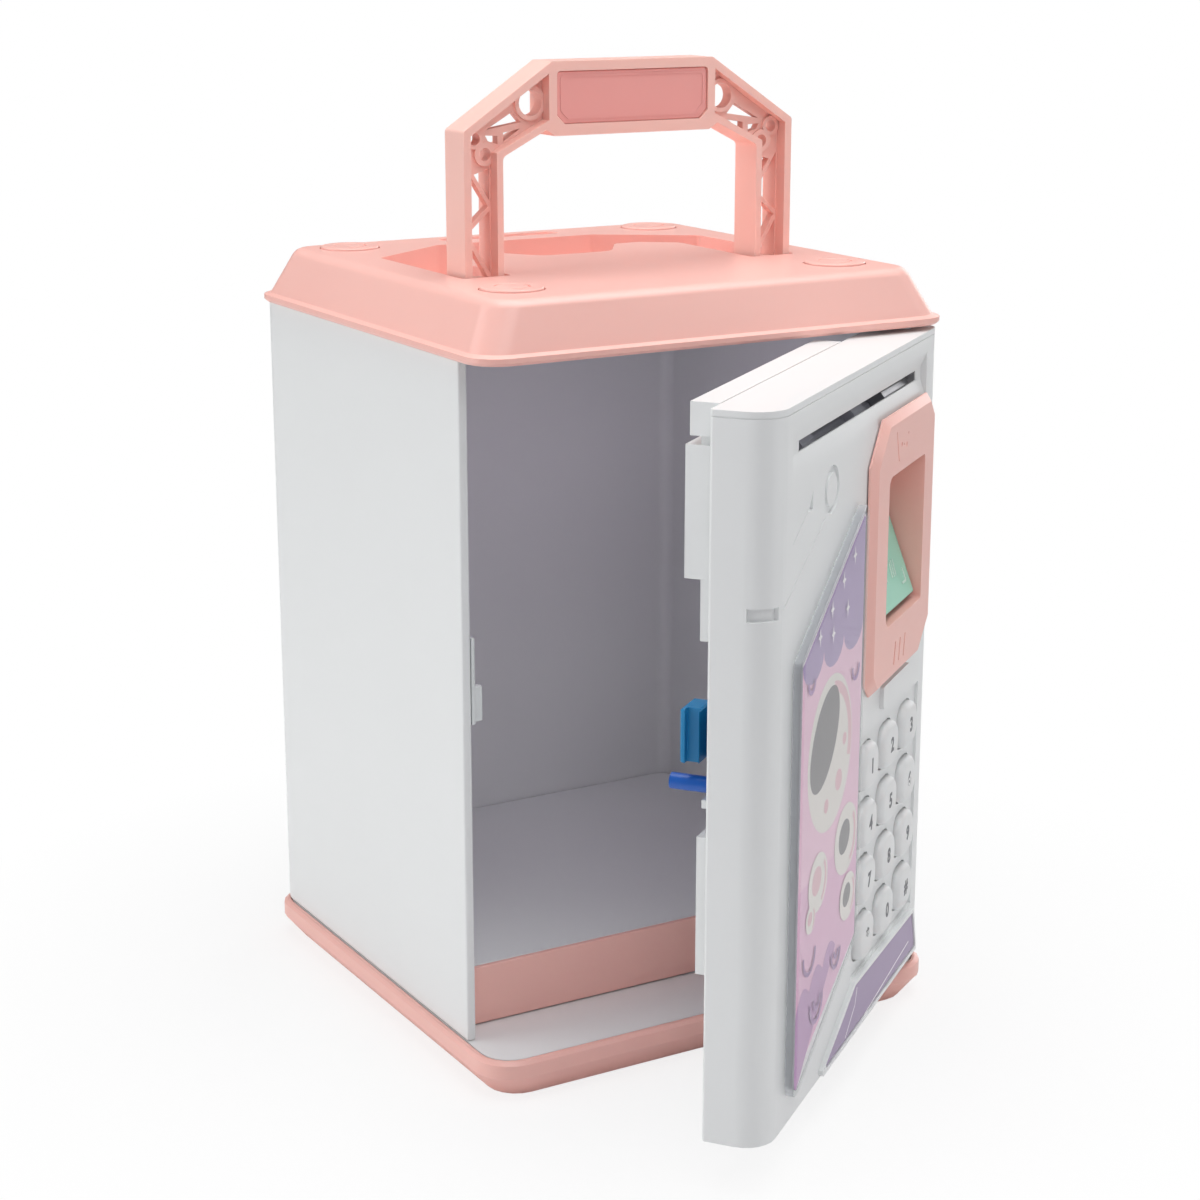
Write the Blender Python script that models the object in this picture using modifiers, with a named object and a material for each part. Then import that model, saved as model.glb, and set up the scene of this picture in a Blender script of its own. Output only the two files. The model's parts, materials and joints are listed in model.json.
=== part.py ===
"""Toy cash safe: a white cabinet between a pink base and a pink lid, with a folding carrying handle and a
door that holds a banknote feeder, a fingerprint pad, a twelve-key pad and a battery box.

Metres, +Z up. The origin is the middle of the base's underside. X runs to the right and Y to the back, so
the door closes the front, at -Y. Door pieces are modelled as the door stands when closed; an empty on the
hinge axis then carries them to the half-open rest position.
"""

import math

import bmesh
import bpy
from mathutils import Matrix, Vector

MM = 0.001
GAP = 0.3 * MM
ARC_STEPS = 5

# Cabinet
WALL_HALF_WIDTH = 65.6 * MM
WALL_BACK = 65.5 * MM
WALL_FRONT = -50.6 * MM
WALL_THICKNESS = 2.4 * MM
WALL_CORNER = 6 * MM
WALL_TOP = 183.4 * MM

# Base
BASE_HALF_WIDTH = 67.75 * MM
BASE_HALF_DEPTH = 68.1 * MM
BASE_FOOT_HALF_WIDTH = 62.9 * MM
BASE_FOOT_HALF_DEPTH = 64.4 * MM
BASE_BAND_BOTTOM = 5.5 * MM
BASE_HEIGHT = 10.4 * MM
BASE_CORNER = 10 * MM
BASE_FLOOR = 3.2 * MM
LEDGE_HALF_WIDTH = 65.5 * MM
LEDGE_HALF_DEPTH = 65.8 * MM
LEDGE_BOTTOM = 7.7 * MM
LEDGE_CORNER = 8 * MM
RISER_FRONT = -42.9 * MM
RISER_TOP = 26.2 * MM
LINER_THICKNESS = 1.5 * MM
BASE_SCREW_X = 50 * MM
BASE_SCREW_Y = 50 * MM
BASE_SCREW_LENGTH = 8.6 * MM
LEDGE_HOLE_TOP = 9.5 * MM

# Lid
LID_HALF_WIDTH = 67.6 * MM
LID_HALF_DEPTH = 66 * MM
LID_BOTTOM = 183.7 * MM
LID_BEAD_TOP = 186.2 * MM
LID_BEAD_DEPTH = 1.4 * MM
LID_TOP = 198.0 * MM
LID_TOP_HALF_WIDTH = 59.2 * MM
LID_TOP_HALF_DEPTH = 58.9 * MM
LID_CORNER = 8 * MM
LID_TOP_CORNER = 6 * MM
LID_EDGE_RADIUS = 4 * MM
LID_EDGE_STEPS = 4
LID_SHELL = 2.6 * MM
LID_CAP_RADIUS = 7.8 * MM
LID_CAP_X = 47 * MM
LID_CAP_FRONT = -43 * MM
LID_CAP_BACK = 48.6 * MM
COIN_SLOT_Y = 51.5 * MM
COIN_SLOT_HALF_LENGTH = 14 * MM
COIN_SLOT_HALF_WIDTH = 1.4 * MM
COIN_RIM_HALF_LENGTH = 18.5 * MM
COIN_RIM_HALF_WIDTH = 2.6 * MM

# Handle, upright at rest, folding back into its recess
HANDLE_Y = -16 * MM
HANDLE_DEPTH = 10 * MM
HANDLE_PIVOT_Z = 192.8 * MM
HANDLE_HALF_WIDTH = 48 * MM
HANDLE_INNER = 37.2 * MM
HANDLE_SHOULDER = 233.3 * MM
HANDLE_INNER_SHOULDER = 226.8 * MM
HANDLE_TOP = 249.4 * MM
HANDLE_TOP_HALF = 23.4 * MM
GRIP_HALF_WIDTH = 25 * MM
GRIP_BOTTOM = 231.3 * MM
HANDLE_OUTER_BAND = 2.0 * MM
HANDLE_INNER_BAND = 1.7 * MM
HANDLE_WEB = 2.6 * MM
POCKET_BOTTOM = HANDLE_PIVOT_Z + 4 * MM
BRACE_WIDTH = 1.1 * MM
WALL_SEAM = 0.3 * MM
BOSS_PROUD = 0.7 * MM
WEB_RINGS = (
    ("grip", (27.9 * MM, 239.4 * MM), 4.3 * MM, 3.2 * MM),
    ("elbow", (40.6 * MM, 227.4 * MM), 2.9 * MM, 1.6 * MM),
    ("shoulder", (43.5 * MM, 231.2 * MM), 2.5 * MM, 1.5 * MM),
)
HANDLE_HUB_RADIUS = 5 * MM
HANDLE_PIN_RADIUS = 2 * MM
RECESS_MARGIN = 1.2 * MM
PLATEAU_HALF_WIDTH = 35.6 * MM
PLATEAU_BACK = 20.4 * MM
NOTCH_HALF_WIDTH = 19 * MM
NOTCH_DEPTH = 13 * MM

# Door, in its closed place
DOOR_HALF_WIDTH = 65.3 * MM
DOOR_OUTER = -66.3 * MM
DOOR_INNER = -50.9 * MM
DOOR_BOTTOM = 12 * MM
DOOR_TOP = 182.5 * MM
DOOR_SHELL = 2 * MM
DOOR_FREE_RADIUS = 7.5 * MM
DOOR_HINGE_RADIUS = 4 * MM
NOTCH_GROOVE_BOTTOM = 136.4 * MM
NOTCH_GROOVE_TOP = 139.4 * MM
NOTCH_GROOVE_DEPTH = 1 * MM
HINGE_X = 57.3 * MM
HINGE_Y = -59.2 * MM
HINGE_PIN_RADIUS = 2 * MM
HINGE_PIN_REACH = 4.2 * MM
DOOR_REST_ANGLE = math.radians(37.5)

# Banknote feeder
BILL_Z = 171.9 * MM
BILL_SLOT_LEFT = -46 * MM
BILL_SLOT_RIGHT = 50 * MM
BILL_SLOT_HALF_HEIGHT = 1.25 * MM
CHUTE_LEFT = -55 * MM
CHUTE_RIGHT = 55 * MM
CHUTE_TOP = 177.4 * MM
CHUTE_BOTTOM = 165.4 * MM
CHUTE_DEPTH = 1.6 * MM
ROLLER_Y = -58.6 * MM
FEED_ROLLER_RADIUS = 4.2 * MM
PINCH_ROLLER_RADIUS = 2.6 * MM
SHAFT_RADIUS = 1.4 * MM
TYRE_LENGTH = 9 * MM
TYRE_CENTRES = (-31 * MM, 9 * MM)

# Fingerprint reader
BEZEL_LEFT = 3.2 * MM
BEZEL_RIGHT = 57 * MM
BEZEL_BOTTOM = 99.5 * MM
BEZEL_TOP = 167.2 * MM
BEZEL_PROUD = 2.5 * MM
BEZEL_CHAMFER = 10 * MM
BEZEL_SIDE_SLOPE = 1.8 * MM
WINDOW_LEFT = 14.4 * MM
WINDOW_RIGHT = 47 * MM
WINDOW_BOTTOM = 115 * MM
WINDOW_TOP = 152.8 * MM
WINDOW_BACK = -55.3 * MM
PAD_TILT = math.radians(20)
PAD_LIFT = 1.6 * MM

# Key pad
KEY_COLUMNS = (10.5 * MM, 28.5 * MM, 46.5 * MM)
KEY_ROWS = (80.8 * MM, 65.8 * MM, 50.8 * MM, 35.8 * MM)
KEY_NAMES = ("1", "2", "3", "4", "5", "6", "7", "8", "9", "star", "0", "hash")
KEY_HALF_WIDTH = 6.6 * MM
KEY_HALF_HEIGHT = 5.8 * MM
KEY_CORNER = 4.4 * MM
KEY_PROUD = 1.4 * MM
KEY_LENGTH = 5 * MM
KEY_HOLE_DEPTH = 4.9 * MM
KEYPAD_SINK = 0.8 * MM

# Picture card and badge on the door's face
CARD_LEFT = -52.8 * MM
CARD_RIGHT = -3.6 * MM
CARD_BOTTOM = 18.6 * MM
CARD_LOW_RIGHT = 42 * MM
CARD_SHOULDER = 124.6 * MM
CARD_PEAK = 151 * MM
CARD_PROUD = 3 * MM
COVER_FRONT = 0.5 * MM
COVER_WALL = 0.9 * MM
PRINT_THICKNESS = 0.4 * MM
BADGE_THICKNESS = 1.2 * MM
BADGE_SEAT_DEPTH = 0.6 * MM
BADGE_RIM = 1.3 * MM
BLOCK_LEFT = 20 * MM
BLOCK_RIGHT = 44 * MM
BLOCK_BOTTOM = 92.5 * MM
BLOCK_TOP = 98.5 * MM
BLOCK_PROUD = 1.1 * MM

# Inner face of the door
PANEL_LEFT = -63 * MM
PANEL_RIGHT = 50.6 * MM
PANEL_BOTTOM = 14.3 * MM
PANEL_TOP = 180.2 * MM
HOUSING_LEFT = -58 * MM
HOUSING_RIGHT = 31 * MM
HOUSING_WALL = 1.6 * MM
FEEDER_REACH = -43.8 * MM
READER_REACH = -42.8 * MM
SENSOR_REACH = -46.6 * MM
PANEL_REACH = -40 * MM
NECK_INSET = 1.2 * MM
NECK_REACH = -46 * MM
# Each housing on the door's back panel: name, left, right, low, high and how far it stands into the cabinet.
HOUSINGS = (
    ("feeder", HOUSING_LEFT, HOUSING_RIGHT, 175 * MM, PANEL_TOP, FEEDER_REACH),
    ("reader", HOUSING_LEFT, HOUSING_RIGHT, 143 * MM, 173 * MM, READER_REACH),
    ("sensor", HOUSING_LEFT + 0.05 * MM, -20 * MM, 129 * MM, 143.5 * MM, SENSOR_REACH),
    ("latch", HOUSING_LEFT, -36 * MM, 90 * MM, 98.6 * MM, -47.4 * MM),
    ("battery", -59.4 * MM, 5.8 * MM, 50.4 * MM, 83.6 * MM, -46.8 * MM),
)
# The hollows inside them, in the same order of values.
HOUSING_HOLLOWS = (
    ("feeder", -55.2 * MM, 28.2 * MM, 167.6 * MM, 177.4 * MM, NECK_REACH - 3.2 * MM),
    ("reader", -56.4 * MM, 29.4 * MM, 144.6 * MM, 169.8 * MM, READER_REACH - HOUSING_WALL),
    ("sensor", -56.4 * MM, -21.6 * MM, 131.6 * MM, 143.4 * MM, SENSOR_REACH - HOUSING_WALL),
)
SPEAKER_PLACE = (-38 * MM, -55.6 * MM, 143 * MM)
LATCH_MOTOR_PLACE = (-36 * MM, -58.6 * MM, 106.6 * MM)
BATTERY_RADIUS = 7.2 * MM
BATTERY_HALF_LENGTH = 25 * MM
BATTERY_X = -30.2 * MM
BATTERY_Y = -56.4 * MM
BATTERY_Z = (59.4 * MM, 74.6 * MM)
BOLT_LEFT = -58.4 * MM
BOLT_RIGHT = -49.6 * MM
RELEASE_X = -54.8 * MM
RELEASE_Z = 94.6 * MM
RELEASE_MIDDLE = -47 * MM
RELEASE_RADIUS = 1.9 * MM
RELEASE_LENGTH = 16 * MM

PINK = (0.86, 0.52, 0.50)
WHITE = (0.83, 0.84, 0.84)
MINT = (0.35, 0.65, 0.50)
LILAC = (0.42, 0.33, 0.44)
BLUE = (0.0, 0.16, 0.40)
DEEP_BLUE = (0.03, 0.09, 0.35)


def clear_scene():
    for obj in list(bpy.data.objects):
        bpy.data.objects.remove(obj, do_unlink=True)


def new_collection(name):
    collection = bpy.data.collections.new(name)
    bpy.context.scene.collection.children.link(collection)
    return collection


def material(name, colour, roughness, metallic=0.0, transmission=0.0):
    made = bpy.data.materials.get(name)
    if made:
        return made
    made = bpy.data.materials.new(name)
    made.use_nodes = True
    made.diffuse_color = (*colour, 1.0)
    shader = made.node_tree.nodes["Principled BSDF"]
    shader.inputs["Base Color"].default_value = (*colour, 1.0)
    shader.inputs["Roughness"].default_value = roughness
    shader.inputs["Metallic"].default_value = metallic
    shader.inputs["Transmission Weight"].default_value = transmission
    return made


def pink_plastic():
    return material("pink_plastic", PINK, 0.35)


def white_plastic():
    return material("white_plastic", WHITE, 0.3)


def steel():
    return material("steel", (0.6, 0.6, 0.62), 0.3, metallic=1.0)


def new_object(name, mesh, look=None, smooth=False):
    obj = bpy.data.objects.new(name, mesh)
    if look:
        mesh.materials.append(look)
    if smooth:
        mesh.shade_smooth()
        mesh.set_sharp_from_angle(angle=math.radians(30))
    PARTS.objects.link(obj)
    return obj


def mesh_from(bm, name):
    bmesh.ops.recalc_face_normals(bm, faces=bm.faces)
    mesh = bpy.data.meshes.new(name)
    bm.to_mesh(mesh)
    bm.free()
    return mesh


def add_box(bm, low, high):
    """Adds a box between two opposite corners."""
    low, high = Vector(low), Vector(high)
    scale = Matrix.Diagonal((*(high - low), 1.0))
    bmesh.ops.create_cube(bm, size=1.0, matrix=Matrix.Translation((low + high) / 2) @ scale)


def add_cylinder(bm, centre, radius, length, axis, steps=24, end_radius=None):
    """Adds a cylinder, or a cone frustum whose second radius is at the positive end of the axis."""
    turn = {
        "X": Matrix.Rotation(math.pi / 2, 4, "Y"),
        "Y": Matrix.Rotation(-math.pi / 2, 4, "X"),
        "Z": Matrix.Identity(4),
    }[axis]
    bmesh.ops.create_cone(
        bm,
        cap_ends=True,
        segments=steps,
        radius1=radius,
        radius2=radius if end_radius is None else end_radius,
        depth=length,
        matrix=Matrix.Translation(centre) @ turn,
    )


def box(name, low, high, look=None, bevel=0.0):
    bm = bmesh.new()
    add_box(bm, low, high)
    obj = new_object(name, mesh_from(bm, name), look)
    if bevel:
        round_edges(obj, bevel)
    return obj


def cylinder(name, centre, radius, length, axis, look=None, steps=24, end_radius=None):
    bm = bmesh.new()
    add_cylinder(bm, centre, radius, length, axis, steps, end_radius)
    return new_object(name, mesh_from(bm, name), look, smooth=True)


def round_edges(obj, width, segments=2):
    bevel = obj.modifiers.new("rounded_edges", "BEVEL")
    bevel.width = width
    bevel.segments = segments
    bevel.limit_method = "ANGLE"
    bevel.angle_limit = math.radians(40)


def rounded(corners, radii, steps=ARC_STEPS):
    """The polygon through the corners, each turned into an arc of its radius (0 keeps it sharp)."""
    outline = []
    count = len(corners)
    for i, corner in enumerate(corners):
        here = Vector(corner)
        if not radii[i]:
            outline.append(here)
            continue
        back = (Vector(corners[i - 1]) - here).normalized()
        ahead = (Vector(corners[(i + 1) % count]) - here).normalized()
        half = back.angle(ahead) / 2
        centre = here + (back + ahead).normalized() * (radii[i] / math.sin(half))
        start = here + back * (radii[i] / math.tan(half)) - centre
        end = here + ahead * (radii[i] / math.tan(half)) - centre
        sweep = start.angle_signed(end)
        for step in range(steps + 1):
            turn = Matrix.Rotation(-sweep * step / steps, 2)
            outline.append(centre + turn @ start)
    return outline


def rounded_rectangle(half_u, half_v, radius, steps=ARC_STEPS):
    corners = ((-half_u, -half_v), (half_u, -half_v), (half_u, half_v), (-half_u, half_v))
    return rounded(corners, [radius] * 4, steps)


def shifted(outline, u, v):
    return [Vector((point[0] + u, point[1] + v)) for point in outline]


def mirrored(outline):
    return [Vector((-point[0], point[1])) for point in reversed(outline)]


PLATE_AXES = {
    "X": Matrix(((0, 0, 1, 0), (1, 0, 0, 0), (0, 1, 0, 0), (0, 0, 0, 1))),
    "Y": Matrix(((1, 0, 0, 0), (0, 0, -1, 0), (0, 1, 0, 0), (0, 0, 0, 1))),
    "Z": Matrix.Identity(4),
}


def plate_mesh(name, outlines, low, high, axis):
    """Closed prisms from low to high along the axis. Outlines are (y, z), (x, z) or (x, y)."""
    curve = bpy.data.curves.new(name, "CURVE")
    curve.dimensions = "2D"
    curve.fill_mode = "BOTH"
    curve.extrude = (high - low) / 2
    for outline in outlines:
        spline = curve.splines.new("POLY")
        spline.points.add(len(outline) - 1)
        for point, place in zip(spline.points, outline):
            point.co = (place[0], place[1], 0.0, 1.0)
        spline.use_cyclic_u = True
    guide = bpy.data.objects.new(name, curve)
    bpy.context.scene.collection.objects.link(guide)
    graph = bpy.context.evaluated_depsgraph_get()
    mesh = bpy.data.meshes.new_from_object(guide.evaluated_get(graph))
    middle = (low + high) / 2 * (-1 if axis == "Y" else 1)
    mesh.transform(PLATE_AXES[axis] @ Matrix.Translation((0, 0, middle)))
    bpy.data.objects.remove(guide, do_unlink=True)
    bpy.data.curves.remove(curve)
    bm = bmesh.new()
    bm.from_mesh(mesh)
    bpy.data.meshes.remove(mesh)
    bmesh.ops.remove_doubles(bm, verts=bm.verts, dist=0.002 * MM)
    bmesh.ops.dissolve_limit(bm, angle_limit=math.radians(0.1), verts=bm.verts, edges=bm.edges)
    return mesh_from(bm, name)


def plate(name, outline, low, high, axis, look=None, smooth=True):
    return new_object(name, plate_mesh(name, [outline], low, high, axis), look, smooth)


def plates(name, outlines, low, high, axis):
    return new_object(name, plate_mesh(name, outlines, low, high, axis))


def loft(name, rings, look=None):
    """A closed solid through rings of equally many points, with flat ends."""
    bm = bmesh.new()
    loops = [[bm.verts.new(point) for point in ring] for ring in rings]
    count = len(loops[0])
    for lower, upper in zip(loops, loops[1:]):
        for i in range(count):
            bm.faces.new((lower[i], lower[(i + 1) % count], upper[(i + 1) % count], upper[i]))
    bm.faces.new(loops[0])
    bm.faces.new(loops[-1])
    return new_object(name, mesh_from(bm, name), look, smooth=True)


def level_ring(outline, z):
    return [(point[0], point[1], z) for point in outline]


def face_ring(outline, y):
    return [(point[0], y, point[1]) for point in outline]


def make_guide(obj):
    """Turns a piece into a hidden cutter or joiner."""
    PARTS.objects.unlink(obj)
    CUTTERS.objects.link(obj)
    obj.hide_render = True
    obj.display_type = "WIRE"


def combine(target, others, operation):
    for other in others:
        make_guide(other)
        modifier = target.modifiers.new(other.name, "BOOLEAN")
        modifier.operation = operation
        modifier.object = other
        GUIDES_OF.setdefault(target.name, []).append(other)


def cut(target, *cutters):
    combine(target, cutters, "DIFFERENCE")


def join(target, *joiners):
    combine(target, joiners, "UNION")


def guides_under(obj):
    """The object's cutters and joiners, with those that they use themselves."""
    found = []
    for guide in GUIDES_OF.get(obj.name, ()):
        found += [guide, *guides_under(guide)]
    return found


def place_on(parent, origin, *objects):
    """Gives each object the origin as its own and hangs it, with its cutters, from the parent empty."""
    origin = Vector(origin)
    for obj in objects:
        for piece in (obj, *guides_under(obj)):
            if piece.parent:
                continue
            piece.data.transform(Matrix.Translation(-origin))
            piece.parent = parent
            piece.location = origin - REST_ORIGIN[parent.name]


def new_empty(name, location, angle=0.0):
    empty = bpy.data.objects.new(name, None)
    empty.location = location
    empty.rotation_euler = (0.0, 0.0, angle)
    empty.empty_display_size = 10 * MM
    PARTS.objects.link(empty)
    REST_ORIGIN[name] = Vector(location)
    return empty


def screw_mesh(name, head_radius, head_height, shank_radius, length):
    """A pan-head screw along +Z whose head's flat top is at z = 0, made by turning its profile."""
    profile = (
        (0.0, 0.0),
        (head_radius * 0.8, 0.0),
        (head_radius, -head_height * 0.5),
        (head_radius, -head_height),
        (shank_radius, -head_height),
        (shank_radius, -length + shank_radius),
        (0.0, -length),
    )
    steps = 12
    bm = bmesh.new()
    points = [bm.verts.new((radius, 0.0, z)) for radius, z in profile]
    edges = [bm.edges.new(pair) for pair in zip(points, points[1:])]
    bmesh.ops.spin(
        bm, geom=points + edges, cent=(0, 0, 0), axis=(0, 0, 1), angle=math.tau, steps=steps
    )
    bmesh.ops.remove_doubles(bm, verts=bm.verts, dist=0.001 * MM)
    mesh = mesh_from(bm, name)
    mesh.shade_smooth()
    mesh.set_sharp_from_angle(angle=math.radians(30))
    return mesh


def screw(name, mesh, location, turn):
    """Places a copy of a screw, turned from +Z to the way its head faces."""
    obj = new_object(name, mesh.copy(), steel())
    obj.data.transform(Matrix.Translation(location) @ turn)
    return obj


def screw_clearance(name, location, axis, head_radius, head_depth, shank_radius, depth):
    """The cutter for one screw: a counterbore at the location and a clearance hole past it, along +axis."""
    along = Vector({"Y": (0, 1, 0), "Z": (0, 0, 1)}[axis])
    bm = bmesh.new()
    add_cylinder(bm, Vector(location) + along * (depth / 2), shank_radius, depth, axis, 16)
    hole = new_object(name + "_hole", mesh_from(bm, name))
    bm = bmesh.new()
    add_cylinder(bm, Vector(location) + along * (head_depth / 2), head_radius, head_depth, axis, 16)
    return hole, new_object(name + "_bore", mesh_from(bm, name))


# ---------------------------------------------------------------- base


def base_tray():
    foot = rounded_rectangle(BASE_FOOT_HALF_WIDTH, BASE_FOOT_HALF_DEPTH, BASE_CORNER - 2 * MM)
    band = rounded_rectangle(BASE_HALF_WIDTH - 0.4 * MM, BASE_HALF_DEPTH - 0.4 * MM, BASE_CORNER)
    rim = rounded_rectangle(BASE_HALF_WIDTH, BASE_HALF_DEPTH, BASE_CORNER)
    lip = rounded_rectangle(BASE_HALF_WIDTH - 0.8 * MM, BASE_HALF_DEPTH - 0.8 * MM, BASE_CORNER)
    tray = loft(
        "base_tray",
        [
            level_ring(foot, 0.0),
            level_ring(band, BASE_BAND_BOTTOM),
            level_ring(rim, BASE_BAND_BOTTOM + 0.5 * MM),
            level_ring(rim, BASE_HEIGHT - 0.8 * MM),
            level_ring(lip, BASE_HEIGHT),
        ],
        pink_plastic(),
    )
    seat = plate(
        "cut_base_seat",
        rounded_rectangle(LEDGE_HALF_WIDTH + GAP, LEDGE_HALF_DEPTH + GAP, LEDGE_CORNER),
        LEDGE_BOTTOM - GAP,
        BASE_HEIGHT + 5 * MM,
        "Z",
    )
    hollow = plate(
        "cut_base_hollow",
        rounded(
            (
                (-58 * MM, -58 * MM),
                (46 * MM, -58 * MM),
                (46 * MM, -44 * MM),
                (58 * MM, -44 * MM),
                (58 * MM, 58 * MM),
                (-58 * MM, 58 * MM),
            ),
            (6 * MM, 0, 0, 0, 6 * MM, 6 * MM),
        ),
        BASE_FLOOR,
        BASE_HEIGHT,
        "Z",
    )
    pin_seat = cylinder(
        "cut_base_hinge", (HINGE_X, HINGE_Y, 8 * MM), HINGE_PIN_RADIUS + GAP, 4 * MM, "Z"
    )
    cut(tray, seat, hollow, pin_seat)
    return tray


def ledge_plate():
    """The white plate inlaid in the tray, on which the cabinet stands."""
    ledge = plate(
        "ledge_plate",
        rounded_rectangle(LEDGE_HALF_WIDTH, LEDGE_HALF_DEPTH, LEDGE_CORNER),
        LEDGE_BOTTOM,
        BASE_HEIGHT,
        "Z",
        white_plastic(),
    )
    pin_hole = cylinder(
        "cut_ledge_hinge", (HINGE_X, HINGE_Y, BASE_HEIGHT), HINGE_PIN_RADIUS + GAP, 12 * MM, "Z"
    )
    cut(ledge, pin_hole)
    return ledge


def base_screws(tray, ledge):
    """Four screws from below, through the tray's floor and the ledge plate."""
    mesh = screw_mesh("base_screw", 3 * MM, 1.8 * MM, 1.4 * MM, BASE_SCREW_LENGTH)
    upside_down = Matrix.Rotation(math.pi, 4, "X")
    for name, side, end in (("fl", -1, -1), ("fr", 1, -1), ("bl", -1, 1), ("br", 1, 1)):
        place = Vector((side * BASE_SCREW_X, end * BASE_SCREW_Y, 0.6 * MM))
        if name == "fr":
            place.x -= 10 * MM
        screw("base_screw_" + name, mesh, place, upside_down)
        bottom = (place.x, place.y, -0.5 * MM)
        hole, bore = screw_clearance(
            "cut_base_screw_" + name, bottom, "Z", 3.4 * MM, 3.2 * MM, 1.8 * MM, 6 * MM
        )
        cut(tray, hole, bore)
        middle = (*place.xy, LEDGE_HOLE_TOP - 3 * MM)
        cut(ledge, cylinder("cut_ledge_screw_" + name, middle, 1.8 * MM, 6 * MM, "Z", steps=16))


def floor_box(ledge_top):
    """The pink riser behind the ledge, hollow from below, with a lip along its front."""
    half = WALL_HALF_WIDTH - WALL_THICKNESS - GAP
    back = WALL_BACK - WALL_THICKNESS - GAP
    deck = RISER_TOP - LINER_THICKNESS - GAP
    riser = box(
        "floor_box",
        (-half, RISER_FRONT, ledge_top + GAP),
        (half, back, RISER_TOP),
        pink_plastic(),
    )
    rebate = box(
        "cut_floor_rebate",
        (-half - 1 * MM, RISER_FRONT + 1.5 * MM, deck),
        (half + 1 * MM, back + 1 * MM, RISER_TOP + 1 * MM),
    )
    hollow = box(
        "cut_floor_hollow",
        (-half + 2 * MM, RISER_FRONT + 2 * MM, 0.0),
        (half - 2 * MM, back - 2 * MM, deck - 2 * MM),
    )
    cut(riser, rebate, hollow)
    corner = WALL_CORNER - WALL_THICKNESS
    liner = plate(
        "floor_liner",
        rounded(
            (
                (-half, RISER_FRONT + 1.5 * MM + GAP),
                (half, RISER_FRONT + 1.5 * MM + GAP),
                (half, back),
                (-half, back),
            ),
            (0, 0, corner, corner),
        ),
        RISER_TOP - LINER_THICKNESS,
        RISER_TOP,
        "Z",
        white_plastic(),
    )
    back_corners = plates(
        "cut_floor_corners",
        [
            shifted(back_corner_waste(corner, side), side * half, back)
            for side in (-1, 1)
        ],
        0.0,
        RISER_TOP + 2 * MM,
        "Z",
    )
    cut(riser, back_corners)
    return riser, liner


def back_corner_waste(radius, side):
    """What rounding a back corner takes away, about the corner itself; side is -1 on the left."""
    points = [(1 * MM, 1 * MM), (-radius, 1 * MM)]
    for step in range(ARC_STEPS + 1):
        angle = math.pi / 2 * (1 - step / ARC_STEPS)
        points.append((-radius + radius * math.cos(angle), -radius + radius * math.sin(angle)))
    points.append((1 * MM, -radius))
    outline = [Vector((side * u, v)) for u, v in points]
    return outline if side > 0 else list(reversed(outline))


# ---------------------------------------------------------------- cabinet


def wall_shell():
    outer = WALL_HALF_WIDTH
    inner = WALL_HALF_WIDTH - WALL_THICKNESS
    back = WALL_BACK - WALL_THICKNESS
    inner_corner = WALL_CORNER - WALL_THICKNESS
    corners = (
        (-outer, WALL_FRONT),
        (-inner, WALL_FRONT),
        (-inner, back),
        (inner, back),
        (inner, WALL_FRONT),
        (outer, WALL_FRONT),
        (outer, WALL_BACK),
        (-outer, WALL_BACK),
    )
    radii = (0.6 * MM, 0.6 * MM, inner_corner, inner_corner, 0.6 * MM, 0.6 * MM, WALL_CORNER, WALL_CORNER)
    return plate(
        "wall_shell",
        rounded(corners, radii),
        BASE_HEIGHT + GAP,
        WALL_TOP,
        "Z",
        white_plastic(),
    )


def latch_strike():
    """The catch on the left wall's inner face: a thin strip with a tooth that the bolt hooks behind."""
    wall = -(WALL_HALF_WIDTH - WALL_THICKNESS) + GAP
    strip = box(
        "latch_strike",
        (wall, -50.2 * MM, 93.5 * MM),
        (wall + 1 * MM, -38 * MM, 115.5 * MM),
        material("clear_white_plastic", WHITE, 0.2),
    )
    tooth = box(
        "join_strike_tooth",
        (wall + 0.5 * MM, -49.6 * MM, 94 * MM),
        (wall + 3.2 * MM, -47.6 * MM, 103 * MM),
    )
    join(strip, tooth)
    return strip


# ---------------------------------------------------------------- lid


def lid_hollow_outline(inset):
    """The lid's underside opening: a rectangle, left solid in the front right corner for the hinge pin."""
    half_x = LID_HALF_WIDTH - LID_SHELL - inset
    half_y = LID_HALF_DEPTH - LID_SHELL - inset
    return rounded(
        (
            (-half_x, -half_y),
            (HINGE_X - 7 * MM - inset, -half_y),
            (HINGE_X - 7 * MM - inset, HINGE_Y + 7 * MM + inset),
            (half_x, HINGE_Y + 7 * MM + inset),
            (half_x, half_y),
            (-half_x, half_y),
        ),
        (8 * MM, 0, 2 * MM, 0, 8 * MM, 8 * MM),
    )


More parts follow.
